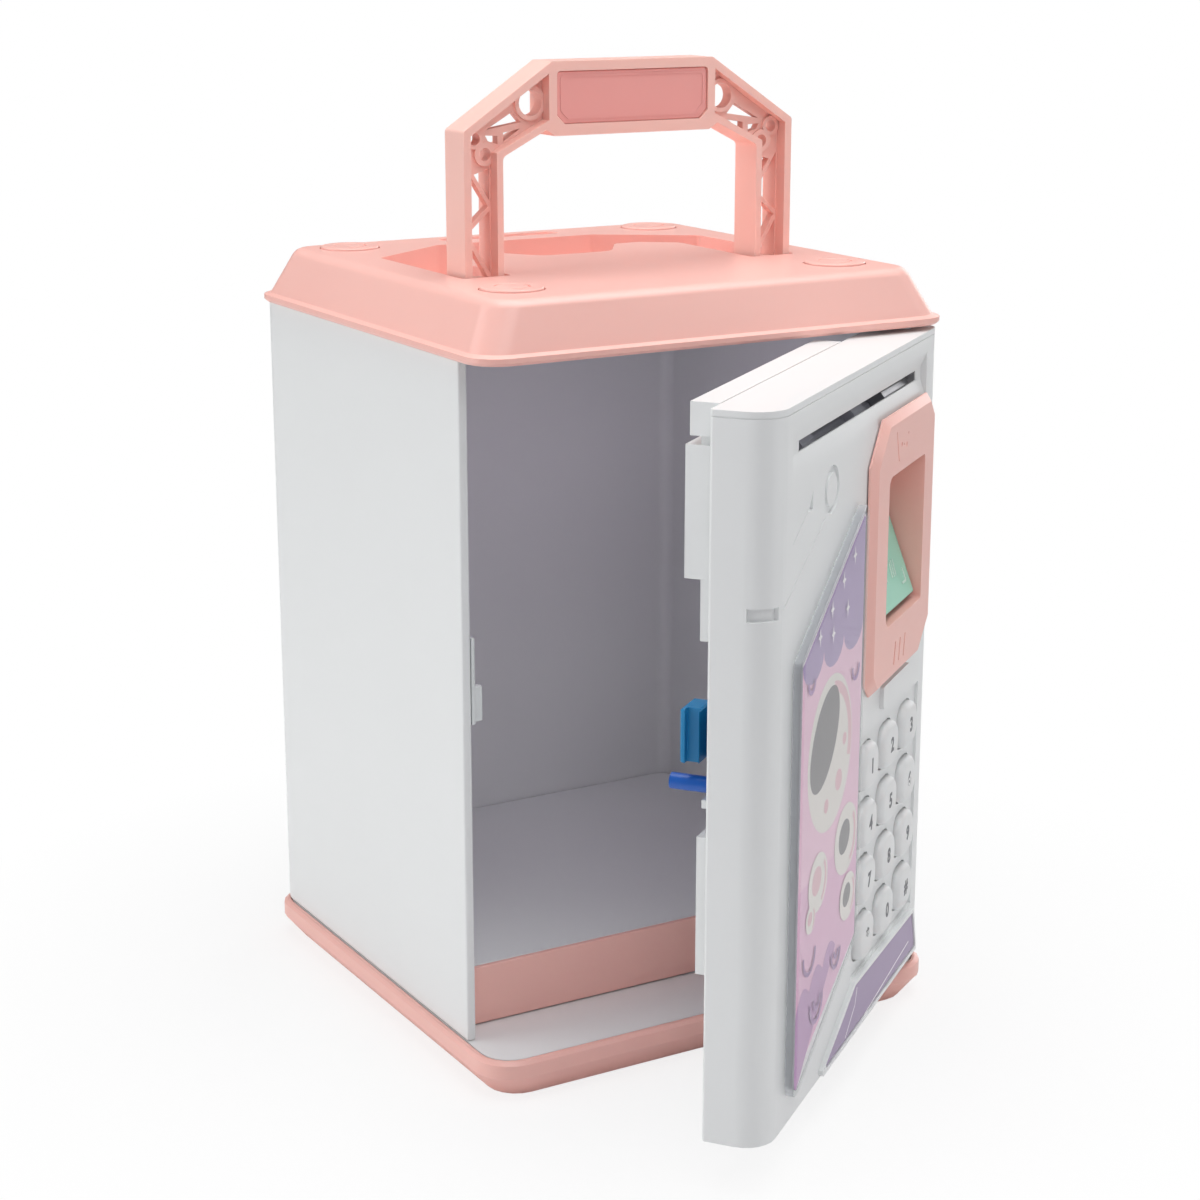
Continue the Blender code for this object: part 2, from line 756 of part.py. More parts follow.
def recess_outline():
    """The handle folded back, seen from above, with a margin round it and the plateau's side left in."""
    pivot_offset = HANDLE_Y - HANDLE_PIVOT_Z
    half = HANDLE_HALF_WIDTH + RECESS_MARGIN
    front = HANDLE_Y - HANDLE_HUB_RADIUS - 0.8 * MM
    shoulder = HANDLE_SHOULDER + pivot_offset + 0.4 * MM
    back = HANDLE_TOP + pivot_offset + RECESS_MARGIN
    top_half = HANDLE_TOP_HALF + 0.8 * MM
    inner = PLATEAU_HALF_WIDTH
    notch = NOTCH_HALF_WIDTH
    corners = [
        (-half, front),
        (-inner, front),
        (-inner, PLATEAU_BACK - 7 * MM),
        (-inner + 9 * MM, PLATEAU_BACK),
        (-notch, PLATEAU_BACK),
        (-notch * 0.55, PLATEAU_BACK - NOTCH_DEPTH),
        (notch * 0.55, PLATEAU_BACK - NOTCH_DEPTH),
        (notch, PLATEAU_BACK),
        (inner - 9 * MM, PLATEAU_BACK),
        (inner, PLATEAU_BACK - 7 * MM),
        (inner, front),
        (half, front),
        (half, shoulder),
        (top_half, back),
        (-top_half, back),
        (-half, shoulder),
    ]
    radii = [1 * MM, 1 * MM, 2 * MM, 2 * MM, 3 * MM, 6 * MM, 6 * MM, 3 * MM]
    radii += [2 * MM, 2 * MM, 1 * MM, 1 * MM, 2 * MM, 3 * MM, 3 * MM, 2 * MM]
    return rounded(corners, radii, 4)


def lid_edge_rings():
    """The rounding between the lid's slanted sides and its top, from the side up."""
    slant = math.atan2(LID_HALF_WIDTH - LID_BEAD_DEPTH - LID_TOP_HALF_WIDTH, LID_TOP - LID_BEAD_TOP)
    inset = LID_EDGE_RADIUS * math.tan((math.pi / 2 - slant) / 2) - 1 * MM
    rings = []
    for step in range(LID_EDGE_STEPS + 1):
        angle = slant + (math.pi / 2 - slant) * step / LID_EDGE_STEPS
        out = LID_EDGE_RADIUS * math.cos(angle) - inset
        height = LID_TOP - LID_EDGE_RADIUS * (1 - math.sin(angle))
        ring = rounded_rectangle(LID_TOP_HALF_WIDTH + out, LID_TOP_HALF_DEPTH + out, LID_TOP_CORNER + out)
        rings.append(level_ring(ring, height))
    return rings


def lid_cover():
    rim = rounded_rectangle(LID_HALF_WIDTH, LID_HALF_DEPTH, LID_CORNER)
    under = rounded_rectangle(LID_HALF_WIDTH - 0.6 * MM, LID_HALF_DEPTH - 0.6 * MM, LID_CORNER)
    waist = rounded_rectangle(LID_HALF_WIDTH - LID_BEAD_DEPTH, LID_HALF_DEPTH - LID_BEAD_DEPTH, LID_CORNER)
    bead = [
        level_ring(under, LID_BOTTOM),
        level_ring(rim, LID_BOTTOM + 0.7 * MM),
        level_ring(rim, LID_BEAD_TOP - 0.6 * MM),
        level_ring(waist, LID_BEAD_TOP),
    ]
    lid = loft("lid_cover", bead + lid_edge_rings(), pink_plastic())
    recess_floor = HANDLE_PIVOT_Z - HANDLE_DEPTH / 2 - 0.5 * MM
    underside = plate(
        "cut_lid_underside", lid_hollow_outline(0), LID_BOTTOM - 1 * MM, LID_BOTTOM + 2.2 * MM, "Z"
    )
    front_band = box(
        "cut_lid_front", (-50 * MM, -57 * MM, LID_BOTTOM), (44 * MM, -31 * MM, LID_TOP - LID_SHELL)
    )
    back_band = box(
        "cut_lid_back", (-50 * MM, 44 * MM, LID_BOTTOM), (50 * MM, 57 * MM, LID_TOP - LID_SHELL)
    )
    plateau_hollow = box(
        "cut_lid_plateau", (-32 * MM, -26 * MM, LID_BOTTOM), (32 * MM, 4 * MM, LID_TOP - LID_SHELL)
    )
    recess = plate("cut_lid_recess", recess_outline(), recess_floor, LID_TOP + 5 * MM, "Z")
    hinge_seat = cylinder(
        "cut_lid_hinge",
        (HINGE_X, HINGE_Y, LID_BOTTOM),
        HINGE_PIN_RADIUS + GAP,
        2 * HINGE_PIN_REACH + 1 * MM,
        "Z",
    )
    cut(lid, underside, front_band, back_band, plateau_hollow, recess, handle_pin_seats(), hinge_seat)
    coin_rim = plate(
        "cut_coin_rim",
        shifted(rounded_rectangle(COIN_RIM_HALF_LENGTH, COIN_RIM_HALF_WIDTH, 2.5 * MM), 0, COIN_SLOT_Y),
        LID_TOP - 0.7 * MM,
        LID_TOP + 5 * MM,
        "Z",
    )
    coin_slot = plate(
        "cut_coin_slot",
        shifted(rounded_rectangle(COIN_SLOT_HALF_LENGTH, COIN_SLOT_HALF_WIDTH, 1.3 * MM), 0, COIN_SLOT_Y),
        LID_TOP - 6 * MM,
        LID_TOP + 5 * MM,
        "Z",
    )
    cut(lid, coin_rim, coin_slot)
    return lid


def handle_pin_seats():
    """The two pin seats in the outer walls of the recess."""
    bm = bmesh.new()
    for side in (-1, 1):
        middle = (side * (HANDLE_HALF_WIDTH + 3.5 * MM), HANDLE_Y, HANDLE_PIVOT_Z)
        add_cylinder(bm, middle, HANDLE_PIN_RADIUS + GAP, 8 * MM, "X", 16)
    return new_object("cut_lid_handle_pins", mesh_from(bm, "handle_pin_seats"))


def ceiling_plate():
    """The white plate that closes the lid's underside and rests on the cabinet."""
    low = LID_BOTTOM + GAP
    ceiling = plate("ceiling_plate", lid_hollow_outline(GAP), low, low + 1.5 * MM, "Z", white_plastic())
    coin_hole = box(
        "cut_ceiling_coin",
        (-17 * MM, COIN_SLOT_Y - 4 * MM, LID_BOTTOM - 2 * MM),
        (17 * MM, COIN_SLOT_Y + 4 * MM, LID_BOTTOM + 5 * MM),
    )
    cut(ceiling, coin_hole)
    return ceiling


def lid_caps(lid):
    """Four raised discs over the lid's screws, each in a shallow seat."""
    places = {
        "fl": (-LID_CAP_X, LID_CAP_FRONT),
        "fr": (LID_CAP_X, LID_CAP_FRONT),
        "bl": (-LID_CAP_X, LID_CAP_BACK),
        "br": (LID_CAP_X, LID_CAP_BACK),
    }
    bm = bmesh.new()
    for u, v in places.values():
        add_cylinder(bm, (u, v, LID_TOP + 1 * MM), LID_CAP_RADIUS + GAP, 4 * MM, "Z", 30)
    seats = new_object("cut_lid_cap_seats", mesh_from(bm, "cap_seats"))
    cut(lid, seats)
    low = LID_TOP - 1 * MM + GAP
    high = LID_TOP + 0.6 * MM
    middle = (low + high) / 2
    for name, (u, v) in places.items():
        cap = "lid_cap_" + name
        cylinder(cap, (u, v, middle), LID_CAP_RADIUS, high - low, "Z", pink_plastic(), steps=30)


# ---------------------------------------------------------------- handle


def handle_outline():
    """The arch seen from the front, from pivot height up."""
    outer = HANDLE_HALF_WIDTH
    inner = HANDLE_INNER
    left_to_right = (
        (-outer, HANDLE_PIVOT_Z),
        (-inner, HANDLE_PIVOT_Z),
        (-inner, HANDLE_INNER_SHOULDER),
        (-GRIP_HALF_WIDTH, GRIP_BOTTOM + 1.6 * MM),
        (-GRIP_HALF_WIDTH + 2.5 * MM, GRIP_BOTTOM),
        (GRIP_HALF_WIDTH - 2.5 * MM, GRIP_BOTTOM),
        (GRIP_HALF_WIDTH, GRIP_BOTTOM + 1.6 * MM),
        (inner, HANDLE_INNER_SHOULDER),
        (inner, HANDLE_PIVOT_Z),
        (outer, HANDLE_PIVOT_Z),
        (outer, HANDLE_SHOULDER),
        (HANDLE_TOP_HALF, HANDLE_TOP),
        (-HANDLE_TOP_HALF, HANDLE_TOP),
        (-outer, HANDLE_SHOULDER),
    )
    radii = (0, 0, 1.5 * MM, 0, 0, 0, 0, 1.5 * MM, 0, 0, 1 * MM, 1 * MM, 1 * MM, 1 * MM)
    return rounded(left_to_right, radii, 3)


def handle_pocket():
    """The right-hand hollow between the outer and the inner band, seen from the front."""
    outer = HANDLE_HALF_WIDTH - HANDLE_OUTER_BAND
    inner = HANDLE_INNER + HANDLE_INNER_BAND
    side = GRIP_HALF_WIDTH - 0.8 * MM
    return (
        (inner, POCKET_BOTTOM),
        (outer, POCKET_BOTTOM),
        (outer, pocket_roof(outer)),
        (side, pocket_roof(side)),
        (side, pocket_floor(side)),
        (inner, pocket_floor(inner)),
    )


def pocket_roof(x):
    """The underside of the outer band where it slopes."""
    slope = (HANDLE_TOP - HANDLE_SHOULDER) / (HANDLE_HALF_WIDTH - HANDLE_TOP_HALF)
    return HANDLE_SHOULDER + (HANDLE_HALF_WIDTH - x) * slope - HANDLE_OUTER_BAND * math.hypot(1, slope)


def pocket_floor(x):
    """The upper side of the inner band where it slopes."""
    slope = (GRIP_BOTTOM + 1.6 * MM - HANDLE_INNER_SHOULDER) / (HANDLE_INNER - GRIP_HALF_WIDTH)
    return HANDLE_INNER_SHOULDER + (HANDLE_INNER - x) * slope + HANDLE_INNER_BAND * math.hypot(1, slope)


def inset_corners(corners, insets):
    """An anticlockwise outline with each side moved inward by its own inset; side i starts at corner i."""
    sides = []
    for start, end, inset in zip(corners, corners[1:] + corners[:1], insets):
        along = (Vector(end) - Vector(start)).normalized()
        sides.append((Vector(start) + Vector((-along.y, along.x)) * inset, along))
    moved = []
    for index, (point, along) in enumerate(sides):
        before, heading = sides[index - 1]
        moved.append(before + heading * ((point - before).cross(along) / heading.cross(along)))
    return moved


def leg_windows():
    """The openings between the zigzag braces of the right leg's web."""
    inner = HANDLE_INNER + HANDLE_INNER_BAND
    outer = HANDLE_HALF_WIDTH - HANDLE_OUTER_BAND
    top, high, low = (outer, 225.8 * MM), (inner, 214.6 * MM), (outer, 208.3 * MM)
    foot = (inner, POCKET_BOTTOM)
    brace = BRACE_WIDTH / 2
    return [
        inset_corners([high, (outer - 2 * MM, 222.4 * MM), (inner, 224 * MM)], (brace, 0, WALL_SEAM)),
        inset_corners([high, low, top], (brace, WALL_SEAM, brace)),
        inset_corners([foot, low, high], (brace, brace, WALL_SEAM)),
        inset_corners([foot, (outer, POCKET_BOTTOM), low], (WALL_SEAM, WALL_SEAM, brace)),
    ]


def shoulder_windows():
    """The three openings in the web under the right-hand slope."""
    return [
        [(30.2 * MM, 234.8 * MM), (39.8 * MM, 233.3 * MM), (32.5 * MM, 237.4 * MM)],
        [(35.2 * MM, 230.2 * MM), (35.2 * MM, 232.4 * MM), (30.4 * MM, 233.2 * MM)],
        [
            (36.8 * MM, 229.7 * MM),
            (39.4 * MM, 230.5 * MM),
            (40.2 * MM, 231.9 * MM),
            (36.8 * MM, 231.7 * MM),
        ],
    ]


def web_discs(name, place, radius, depth):
    """A disc on the web of each leg, about the same place."""
    x, z = place
    bm = bmesh.new()
    for side in (-1, 1):
        add_cylinder(bm, (side * x, HANDLE_Y, z), radius, depth, "Y", 20)
    return new_object(name, mesh_from(bm, name))


def handle_frame():
    front = HANDLE_Y - HANDLE_DEPTH / 2
    back = HANDLE_Y + HANDLE_DEPTH / 2
    frame = plate("handle_frame", handle_outline(), front, back, "Y", pink_plastic())
    sink = (HANDLE_DEPTH - HANDLE_WEB) / 2
    pockets = [handle_pocket(), mirrored(handle_pocket())]
    front_pockets = plates("cut_handle_front", pockets, front - 5 * MM, front + sink, "Y")
    back_pockets = plates("cut_handle_back", pockets, back - sink, back + 5 * MM, "Y")
    right = leg_windows() + shoulder_windows()
    windows = plates(
        "cut_handle_truss", right + [mirrored(w) for w in right], front + sink / 2, back - sink / 2, "Y"
    )
    depth = HANDLE_WEB + 2 * BOSS_PROUD
    bosses = []
    holes = []
    for name, place, outer_radius, hole_radius in WEB_RINGS:
        bosses.append(web_discs("join_boss_" + name, place, outer_radius, depth))
        holes.append(web_discs("cut_ring_" + name, place, hole_radius, 2 * depth))
    hubs = bmesh.new()
    for side in (-1, 1):
        middle = side * (HANDLE_HALF_WIDTH + HANDLE_INNER) / 2
        width = HANDLE_HALF_WIDTH - HANDLE_INNER - 0.2 * MM
        centre = (middle, HANDLE_Y, HANDLE_PIVOT_Z)
        add_cylinder(hubs, centre, HANDLE_HUB_RADIUS - 0.02 * MM, width, "X", 32)
    hub_pair = new_object("join_handle_hubs", mesh_from(hubs, "hubs"))
    plaque = plate(
        "cut_handle_plaque",
        plaque_outline(2.4 * MM),
        front - 1 * MM,
        front + 0.9 * MM,
        "Y",
    )
    pin_bore = cylinder(
        "cut_handle_bore",
        (0, HANDLE_Y, HANDLE_PIVOT_Z),
        HANDLE_PIN_RADIUS + GAP / 2,
        2 * HANDLE_HALF_WIDTH + 4 * MM,
        "X",
        steps=20,
    )
    join(frame, hub_pair)
    cut(frame, front_pockets, back_pockets, windows, plaque, pin_bore)
    join(frame, *bosses)
    cut(frame, *holes)
    return frame


def plaque_outline(inset):
    """The grip's front panel, with its lower corners cut off."""
    half = HANDLE_TOP_HALF + 1 * MM - inset
    low = GRIP_BOTTOM + 0.4 * MM + inset
    high = HANDLE_TOP - inset
    corner = 2.2 * MM
    corners = (
        (-half + corner, low),
        (half - corner, low),
        (half, low + corner),
        (half, high),
        (-half, high),
        (-half, low + corner),
    )
    return rounded(corners, (0, 0, 0, 1 * MM, 1 * MM, 0), 3)


def handle_pins():
    pins = []
    for name, side in (("left", -1), ("right", 1)):
        inner_end = HANDLE_INNER + 1 * MM
        outer_end = HANDLE_HALF_WIDTH + 6 * MM
        middle = side * (inner_end + outer_end) / 2
        pins.append(
            cylinder(
                "handle_pin_" + name,
                (middle, HANDLE_Y, HANDLE_PIVOT_Z),
                HANDLE_PIN_RADIUS - GAP / 2,
                outer_end - inner_end,
                "X",
                steel(),
                steps=20,
            )
        )
    return pins


# ---------------------------------------------------------------- door shell


def door_front():
    """The door's outer shell, hollow from its inner side, with openings for all that shows through it."""
    half = DOOR_HALF_WIDTH
    plan = rounded(
        ((-half, DOOR_INNER), (-half, DOOR_OUTER), (half, DOOR_OUTER), (half, DOOR_INNER)),
        (0.8 * MM, DOOR_FREE_RADIUS, DOOR_HINGE_RADIUS, DOOR_HINGE_RADIUS),
        6,
    )
    shell = plate("door_front", plan, DOOR_BOTTOM, DOOR_TOP, "Z", white_plastic())
    inside = DOOR_OUTER + DOOR_SHELL
    hollow = plate(
        "cut_door_hollow",
        rounded(
            (
                (-half + DOOR_SHELL, 0),
                (-half + DOOR_SHELL, inside),
                (PANEL_RIGHT + GAP, inside),
                (PANEL_RIGHT + GAP, 0),
            ),
            (0, DOOR_FREE_RADIUS - DOOR_SHELL, 0, 0),
        ),
        DOOR_BOTTOM + DOOR_SHELL,
        DOOR_TOP - DOOR_SHELL,
        "Z",
    )
    join(shell, card_plateau(), badge_rim(), keypad_block())
    cut(shell, hollow, bill_chute(), bill_slot(), reader_opening(), keypad_sink(), key_holes())
    cut(shell, pin_bores(), ring_groove(), arrow_mark(), badge_seat(), side_notch())
    return shell


def pin_bores():
    """Two blind bores, one in each end of the door's hinge edge."""
    bm = bmesh.new()
    for end in (DOOR_BOTTOM, DOOR_TOP):
        add_cylinder(bm, (HINGE_X, HINGE_Y, end), HINGE_PIN_RADIUS + GAP / 2, 26 * MM, "Z", 20)
    return new_object("cut_door_pins", mesh_from(bm, "door_pins"))


def bill_chute():
    """A shallow trough across the door, steep above the slot and sloping out to the front below it."""
    profile = (
        (DOOR_OUTER - 3 * MM, CHUTE_TOP + 0.6 * MM),
        (DOOR_OUTER, CHUTE_TOP),
        (DOOR_OUTER + CHUTE_DEPTH, BILL_Z + 1.6 * MM),
        (DOOR_OUTER + CHUTE_DEPTH, BILL_Z - 1.6 * MM),
        (DOOR_OUTER, CHUTE_BOTTOM),
        (DOOR_OUTER - 3 * MM, CHUTE_BOTTOM),
    )
    return plate("cut_bill_chute", list(reversed(profile)), CHUTE_LEFT, CHUTE_RIGHT, "X", smooth=False)


def bill_slot():
    return box(
        "cut_bill_slot",
        (BILL_SLOT_LEFT, DOOR_OUTER - 1 * MM, BILL_Z - BILL_SLOT_HALF_HEIGHT),
        (BILL_SLOT_RIGHT, DOOR_OUTER + 4 * MM, BILL_Z + BILL_SLOT_HALF_HEIGHT),
    )


def reader_opening():
    return box(
        "cut_reader_opening",
        (WINDOW_LEFT - 2.2 * MM, DOOR_OUTER - 1 * MM, WINDOW_BOTTOM - 2.2 * MM),
        (WINDOW_RIGHT + 2.2 * MM, DOOR_OUTER + 4 * MM, WINDOW_TOP + 2.2 * MM),
    )


def keypad_sink():
    """The shallow field that the keys stand in."""
    left = KEY_COLUMNS[0] - KEY_HALF_WIDTH - 3 * MM
    right = KEY_COLUMNS[-1] + KEY_HALF_WIDTH + 4 * MM
    low = KEY_ROWS[-1] - KEY_HALF_HEIGHT - 3 * MM
    high = KEY_ROWS[0] + KEY_HALF_HEIGHT + 3 * MM
    return box("cut_keypad_sink", (left, DOOR_OUTER - 1 * MM, low), (right, DOOR_OUTER + KEYPAD_SINK, high))


def key_places():
    return [(column, row) for row in KEY_ROWS for column in KEY_COLUMNS]


def key_holes():
    hole = rounded_rectangle(KEY_HALF_WIDTH + 0.4 * MM, KEY_HALF_HEIGHT + 0.4 * MM, KEY_CORNER, 3)
    outlines = [shifted(hole, column, row) for column, row in key_places()]
    return plates("cut_key_holes", outlines, DOOR_OUTER - 1 * MM, DOOR_OUTER + KEY_HOLE_DEPTH, "Y")


def ring_groove():
    """A round groove beside the slot."""
    centre = (-25.4 * MM, DOOR_OUTER, 158.2 * MM)
    groove = cylinder("cut_ring_groove", centre, 5.6 * MM, 1.6 * MM, "Y", steps=32)
    island = cylinder("cut_ring_island", centre, 3.9 * MM, 3 * MM, "Y", steps=32)
    cut(groove, island)
    return groove


def arrow_mark():
    triangle = ((-42.6 * MM, 156.6 * MM), (-39.6 * MM, 156.6 * MM), (-39.8 * MM, 161 * MM))
    return plate("cut_arrow_mark", triangle, DOOR_OUTER - 1 * MM, DOOR_OUTER + 0.8 * MM, "Y")


def keypad_block():
    """The small raised block between the fingerprint reader and the keys."""
    outline = shifted(
        rounded_rectangle((BLOCK_RIGHT - BLOCK_LEFT) / 2, (BLOCK_TOP - BLOCK_BOTTOM) / 2, 0.8 * MM, 3),
        (BLOCK_LEFT + BLOCK_RIGHT) / 2,
        (BLOCK_BOTTOM + BLOCK_TOP) / 2,
    )
    return plate("join_keypad_block", outline, DOOR_OUTER - BLOCK_PROUD, DOOR_OUTER + 1 * MM, "Y")


def badge_rim():
    """The raised rim round the lower badge."""
    outline = badge_outline(-BADGE_RIM)
    return plate("join_badge_rim", outline, DOOR_OUTER - BADGE_THICKNESS, DOOR_OUTER + 1 * MM, "Y")


def badge_outline(inset):
    """The lower badge: a low trapezium with its left end stepped down to the door's bottom edge."""
    low = DOOR_BOTTOM + 2 * MM + inset
    return rounded(
        (
            (-25 * MM + 2 * inset, low),
            (59 * MM - inset, low),
            (55.5 * MM - inset, 24.6 * MM - inset),
            (1.5 * MM, 25.6 * MM - inset),
            (-9 * MM + inset, 20.4 * MM - inset),
        ),
        (0.8 * MM, 0.8 * MM, 1 * MM, 2 * MM, 2 * MM),
        2,
    )


def badge_seat():
    low = DOOR_OUTER - BADGE_THICKNESS - 1 * MM
    return plate("cut_badge_seat", badge_outline(-GAP), low, DOOR_OUTER + BADGE_SEAT_DEPTH, "Y")


def side_notch():
    """The shallow finger groove round the free edge."""
    groove = box(
        "cut_side_notch",
        (-DOOR_HALF_WIDTH - 1 * MM, DOOR_OUTER - 1 * MM, NOTCH_GROOVE_BOTTOM),
        (-DOOR_HALF_WIDTH + 4.6 * MM, DOOR_OUTER + 6.6 * MM, NOTCH_GROOVE_TOP),
    )
    left = -DOOR_HALF_WIDTH + NOTCH_GROOVE_DEPTH
    front = DOOR_OUTER + NOTCH_GROOVE_DEPTH
    island = plate(
        "cut_notch_island",
        rounded(
            ((left, DOOR_INNER), (left, front), (0, front), (0, DOOR_INNER)),
            (0, DOOR_FREE_RADIUS - NOTCH_GROOVE_DEPTH, 0, 0),
        ),
        NOTCH_GROOVE_BOTTOM - 1 * MM,
        NOTCH_GROOVE_TOP + 1 * MM,
        "Z",
    )
    cut(groove, island)
    return groove


def door_back():
    """The panel that closes the shell, with the housings that stand into the cabinet."""
    back = DOOR_INNER
    front = DOOR_INNER - DOOR_SHELL
    panel = box(
        "door_back",
        (PANEL_LEFT, front, PANEL_BOTTOM),
        (PANEL_RIGHT, back, PANEL_TOP),
        white_plastic(),
    )
    for name, left, right, low, high, reach in HOUSINGS:
        join(panel, box("join_housing_" + name, (left, front + 0.5 * MM, low), (right, reach, high)))
    neck = box(
        "join_housing_neck",
        (HOUSING_LEFT + NECK_INSET, front + 0.5 * MM, 172 * MM),
        (HOUSING_RIGHT - NECK_INSET, NECK_REACH, 176 * MM),
    )
    cap = box(
        "join_housing_cap",
        (HOUSING_LEFT, DOOR_INNER + GAP, PANEL_TOP - NECK_INSET),
        (HOUSING_RIGHT, FEEDER_REACH, DOOR_TOP),
    )
    join(panel, neck, cap)
    for name, left, right, low, high, reach in HOUSING_HOLLOWS:
        cut(panel, box("cut_housing_" + name, (left, front - 1 * MM, low), (right, reach, high)))
    openings = (
        ("note_exit", BILL_SLOT_LEFT, HOUSING_RIGHT - 3 * MM, BILL_Z - 1.5 * MM, BILL_Z + 1.5 * MM),
        ("battery_mouth", -57.6 * MM, 4 * MM, 52 * MM, 82 * MM),
        ("latch_slot", -62 * MM, -47 * MM, 99.6 * MM, 113.6 * MM),
        ("release_slot", -60.4 * MM, -50 * MM, RELEASE_Z - 2.6 * MM, 100 * MM),
    )
    for name, left, right, low, high in openings:
        cut(panel, box("cut_" + name, (left, front - 1 * MM, low), (right, PANEL_REACH, high)))
    return panel


def door_screws(panel):
    mesh = screw_mesh("door_screw", 2.8 * MM, 1.6 * MM, 1.2 * MM, 10 * MM)
    facing_in = Matrix.Rotation(-math.pi / 2, 4, "X")
    places = {
        "tl": (-61 * MM + 15 * MM, 120 * MM),
        "tr": (45 * MM, 158 * MM),
        "bl": (-54 * MM, 22 * MM),
        "br": (45 * MM, 22 * MM),
    }
    screws = []
    for name, (u, v) in places.items():
        top = DOOR_INNER + 0.9 * MM
        screws.append(screw("door_screw_" + name, mesh, (u, top, v), facing_in))
        cut(
            panel,
            cylinder("cut_door_screw_" + name, (u, DOOR_INNER, v), 1.2 * MM + GAP, 10 * MM, "Y", steps=16),
            cylinder("cut_door_bore_" + name, (u, DOOR_INNER, v), 2.8 * MM + GAP, 2 * MM, "Y", steps=16),
        )
    return screws


def hinge_pins():
    pins = []
    bore_end = 12.5 * MM
    for name, low, high in (
        ("bottom", DOOR_BOTTOM - HINGE_PIN_REACH, DOOR_BOTTOM + bore_end),
        ("top", DOOR_TOP - bore_end, DOOR_TOP + HINGE_PIN_REACH),
    ):
        pins.append(
            cylinder(
                "hinge_pin_" + name,
                (HINGE_X, HINGE_Y, (low + high) / 2),
                HINGE_PIN_RADIUS - GAP / 2,
                high - low,
                "Z",
                steel(),
                steps=20,
            )
        )
    return pins


# ---------------------------------------------------------------- things on the door's face


def bezel_outline(inset, chamfer):
    left = BEZEL_LEFT + inset
    right = BEZEL_RIGHT - inset
    low = BEZEL_BOTTOM + inset
    high = BEZEL_TOP - inset
    small = 4 * MM
    return (
        (left + small, low),
        (right - chamfer, low),
        (right, low + chamfer * 0.8),
        (right, high - small),
        (right - small, high),
        (left + chamfer, high),
        (left, high - chamfer),
        (left, low + small),
    )


def fingerprint_bezel():
    """The pink surround: a chamfered frame on the door's face and a box behind its window."""
    seat = DOOR_OUTER - GAP
    proud = DOOR_OUTER - BEZEL_PROUD
    frame = loft(
        "fingerprint_bezel",
        [
            face_ring(bezel_outline(0.0, BEZEL_CHAMFER), seat),
            face_ring(bezel_outline(0.0, BEZEL_CHAMFER), seat - 0.5 * MM),
            face_ring(bezel_outline(BEZEL_SIDE_SLOPE, BEZEL_CHAMFER - 1 * MM), proud),
        ],
        pink_plastic(),
    )
    frame.data.shade_flat()
    sleeve_wall = 1.6 * MM
    sleeve = box(
        "join_bezel_sleeve",
        (WINDOW_LEFT - sleeve_wall, DOOR_OUTER - 1 * MM, WINDOW_BOTTOM - sleeve_wall),
        (WINDOW_RIGHT + sleeve_wall, WINDOW_BACK + sleeve_wall, WINDOW_TOP + sleeve_wall),
    )
    window = plate(
        "cut_bezel_window",
        rounded(
            (
                (WINDOW_LEFT, WINDOW_BOTTOM),
                (WINDOW_RIGHT, WINDOW_BOTTOM),
                (WINDOW_RIGHT, WINDOW_TOP),
                (WINDOW_LEFT, WINDOW_TOP),
            ),
            (3 * MM, 1 * MM, 1 * MM, 2.5 * MM),
            3,
        ),
        proud - 1 * MM,
        WINDOW_BACK,
        "Y",
    )
    join(frame, sleeve)
    cut(frame, window, bezel_grooves())
    return frame


def bezel_grooves():
    """Three slanted vents below the window."""
    outlines = []
    for index in range(3):
        u = 22.6 * MM + index * 4.4 * MM
        low_end = ((u, 103.6 * MM), (u + 0.8 * MM, 103.6 * MM))
        outlines.append((*low_end, (u + 2 * MM, 109.4 * MM), (u + 1.2 * MM, 109.4 * MM)))
    low = DOOR_OUTER - BEZEL_PROUD - 1 * MM
    return plates("cut_bezel_vents", outlines, low, low + 1.6 * MM, "Y")


def fingerprint_pad():
    """The mint press pad, tilted back inside the window."""
    margin = 0.5 * MM
    thickness = 2 * MM
    height = 27 * MM
    foot = Vector((0, DOOR_OUTER - 1.1 * MM, WINDOW_BOTTOM + PAD_LIFT))
    up = Vector((0, math.sin(PAD_TILT), math.cos(PAD_TILT)))
    inward = Vector((0, math.cos(PAD_TILT), -math.sin(PAD_TILT)))
    side = [foot, foot + inward * thickness, foot + inward * thickness + up * height, foot + up * height]
    low_back = side[1] + up * (foot.z - side[1].z) / math.cos(PAD_TILT)
    profile = [(point.y, point.z) for point in (side[0], low_back, *side[2:])]
    pad = plate(
        "fingerprint_pad",
        profile,
        WINDOW_LEFT + margin,
        WINDOW_RIGHT - margin,
        "X",
        material("mint_plastic", MINT, 0.4),
        smooth=False,
    )
    round_edges(pad, 0.8 * MM)
    return pad, foot + up * height / 2


def key(index, column, row):
    name = "key_" + KEY_NAMES[index]
    front = DOOR_OUTER - KEY_PROUD
    crown = rounded_rectangle(
        KEY_HALF_WIDTH - 1.5 * MM, KEY_HALF_HEIGHT - 1.5 * MM, KEY_CORNER - 1.3 * MM, 3
    )
    brow = rounded_rectangle(
        KEY_HALF_WIDTH - 0.5 * MM, KEY_HALF_HEIGHT - 0.5 * MM, KEY_CORNER - 0.4 * MM, 3
    )
    skirt = rounded_rectangle(KEY_HALF_WIDTH, KEY_HALF_HEIGHT, KEY_CORNER, 3)
    rings = (
        (skirt, front + KEY_LENGTH),
        (skirt, front + 1.5 * MM),
        (brow, front + 0.5 * MM),
        (crown, front),
    )
    return loft(
        name,
        [face_ring(shifted(outline, column, row), y) for outline, y in rings],
        material("white_key_plastic", WHITE, 0.35),
    )


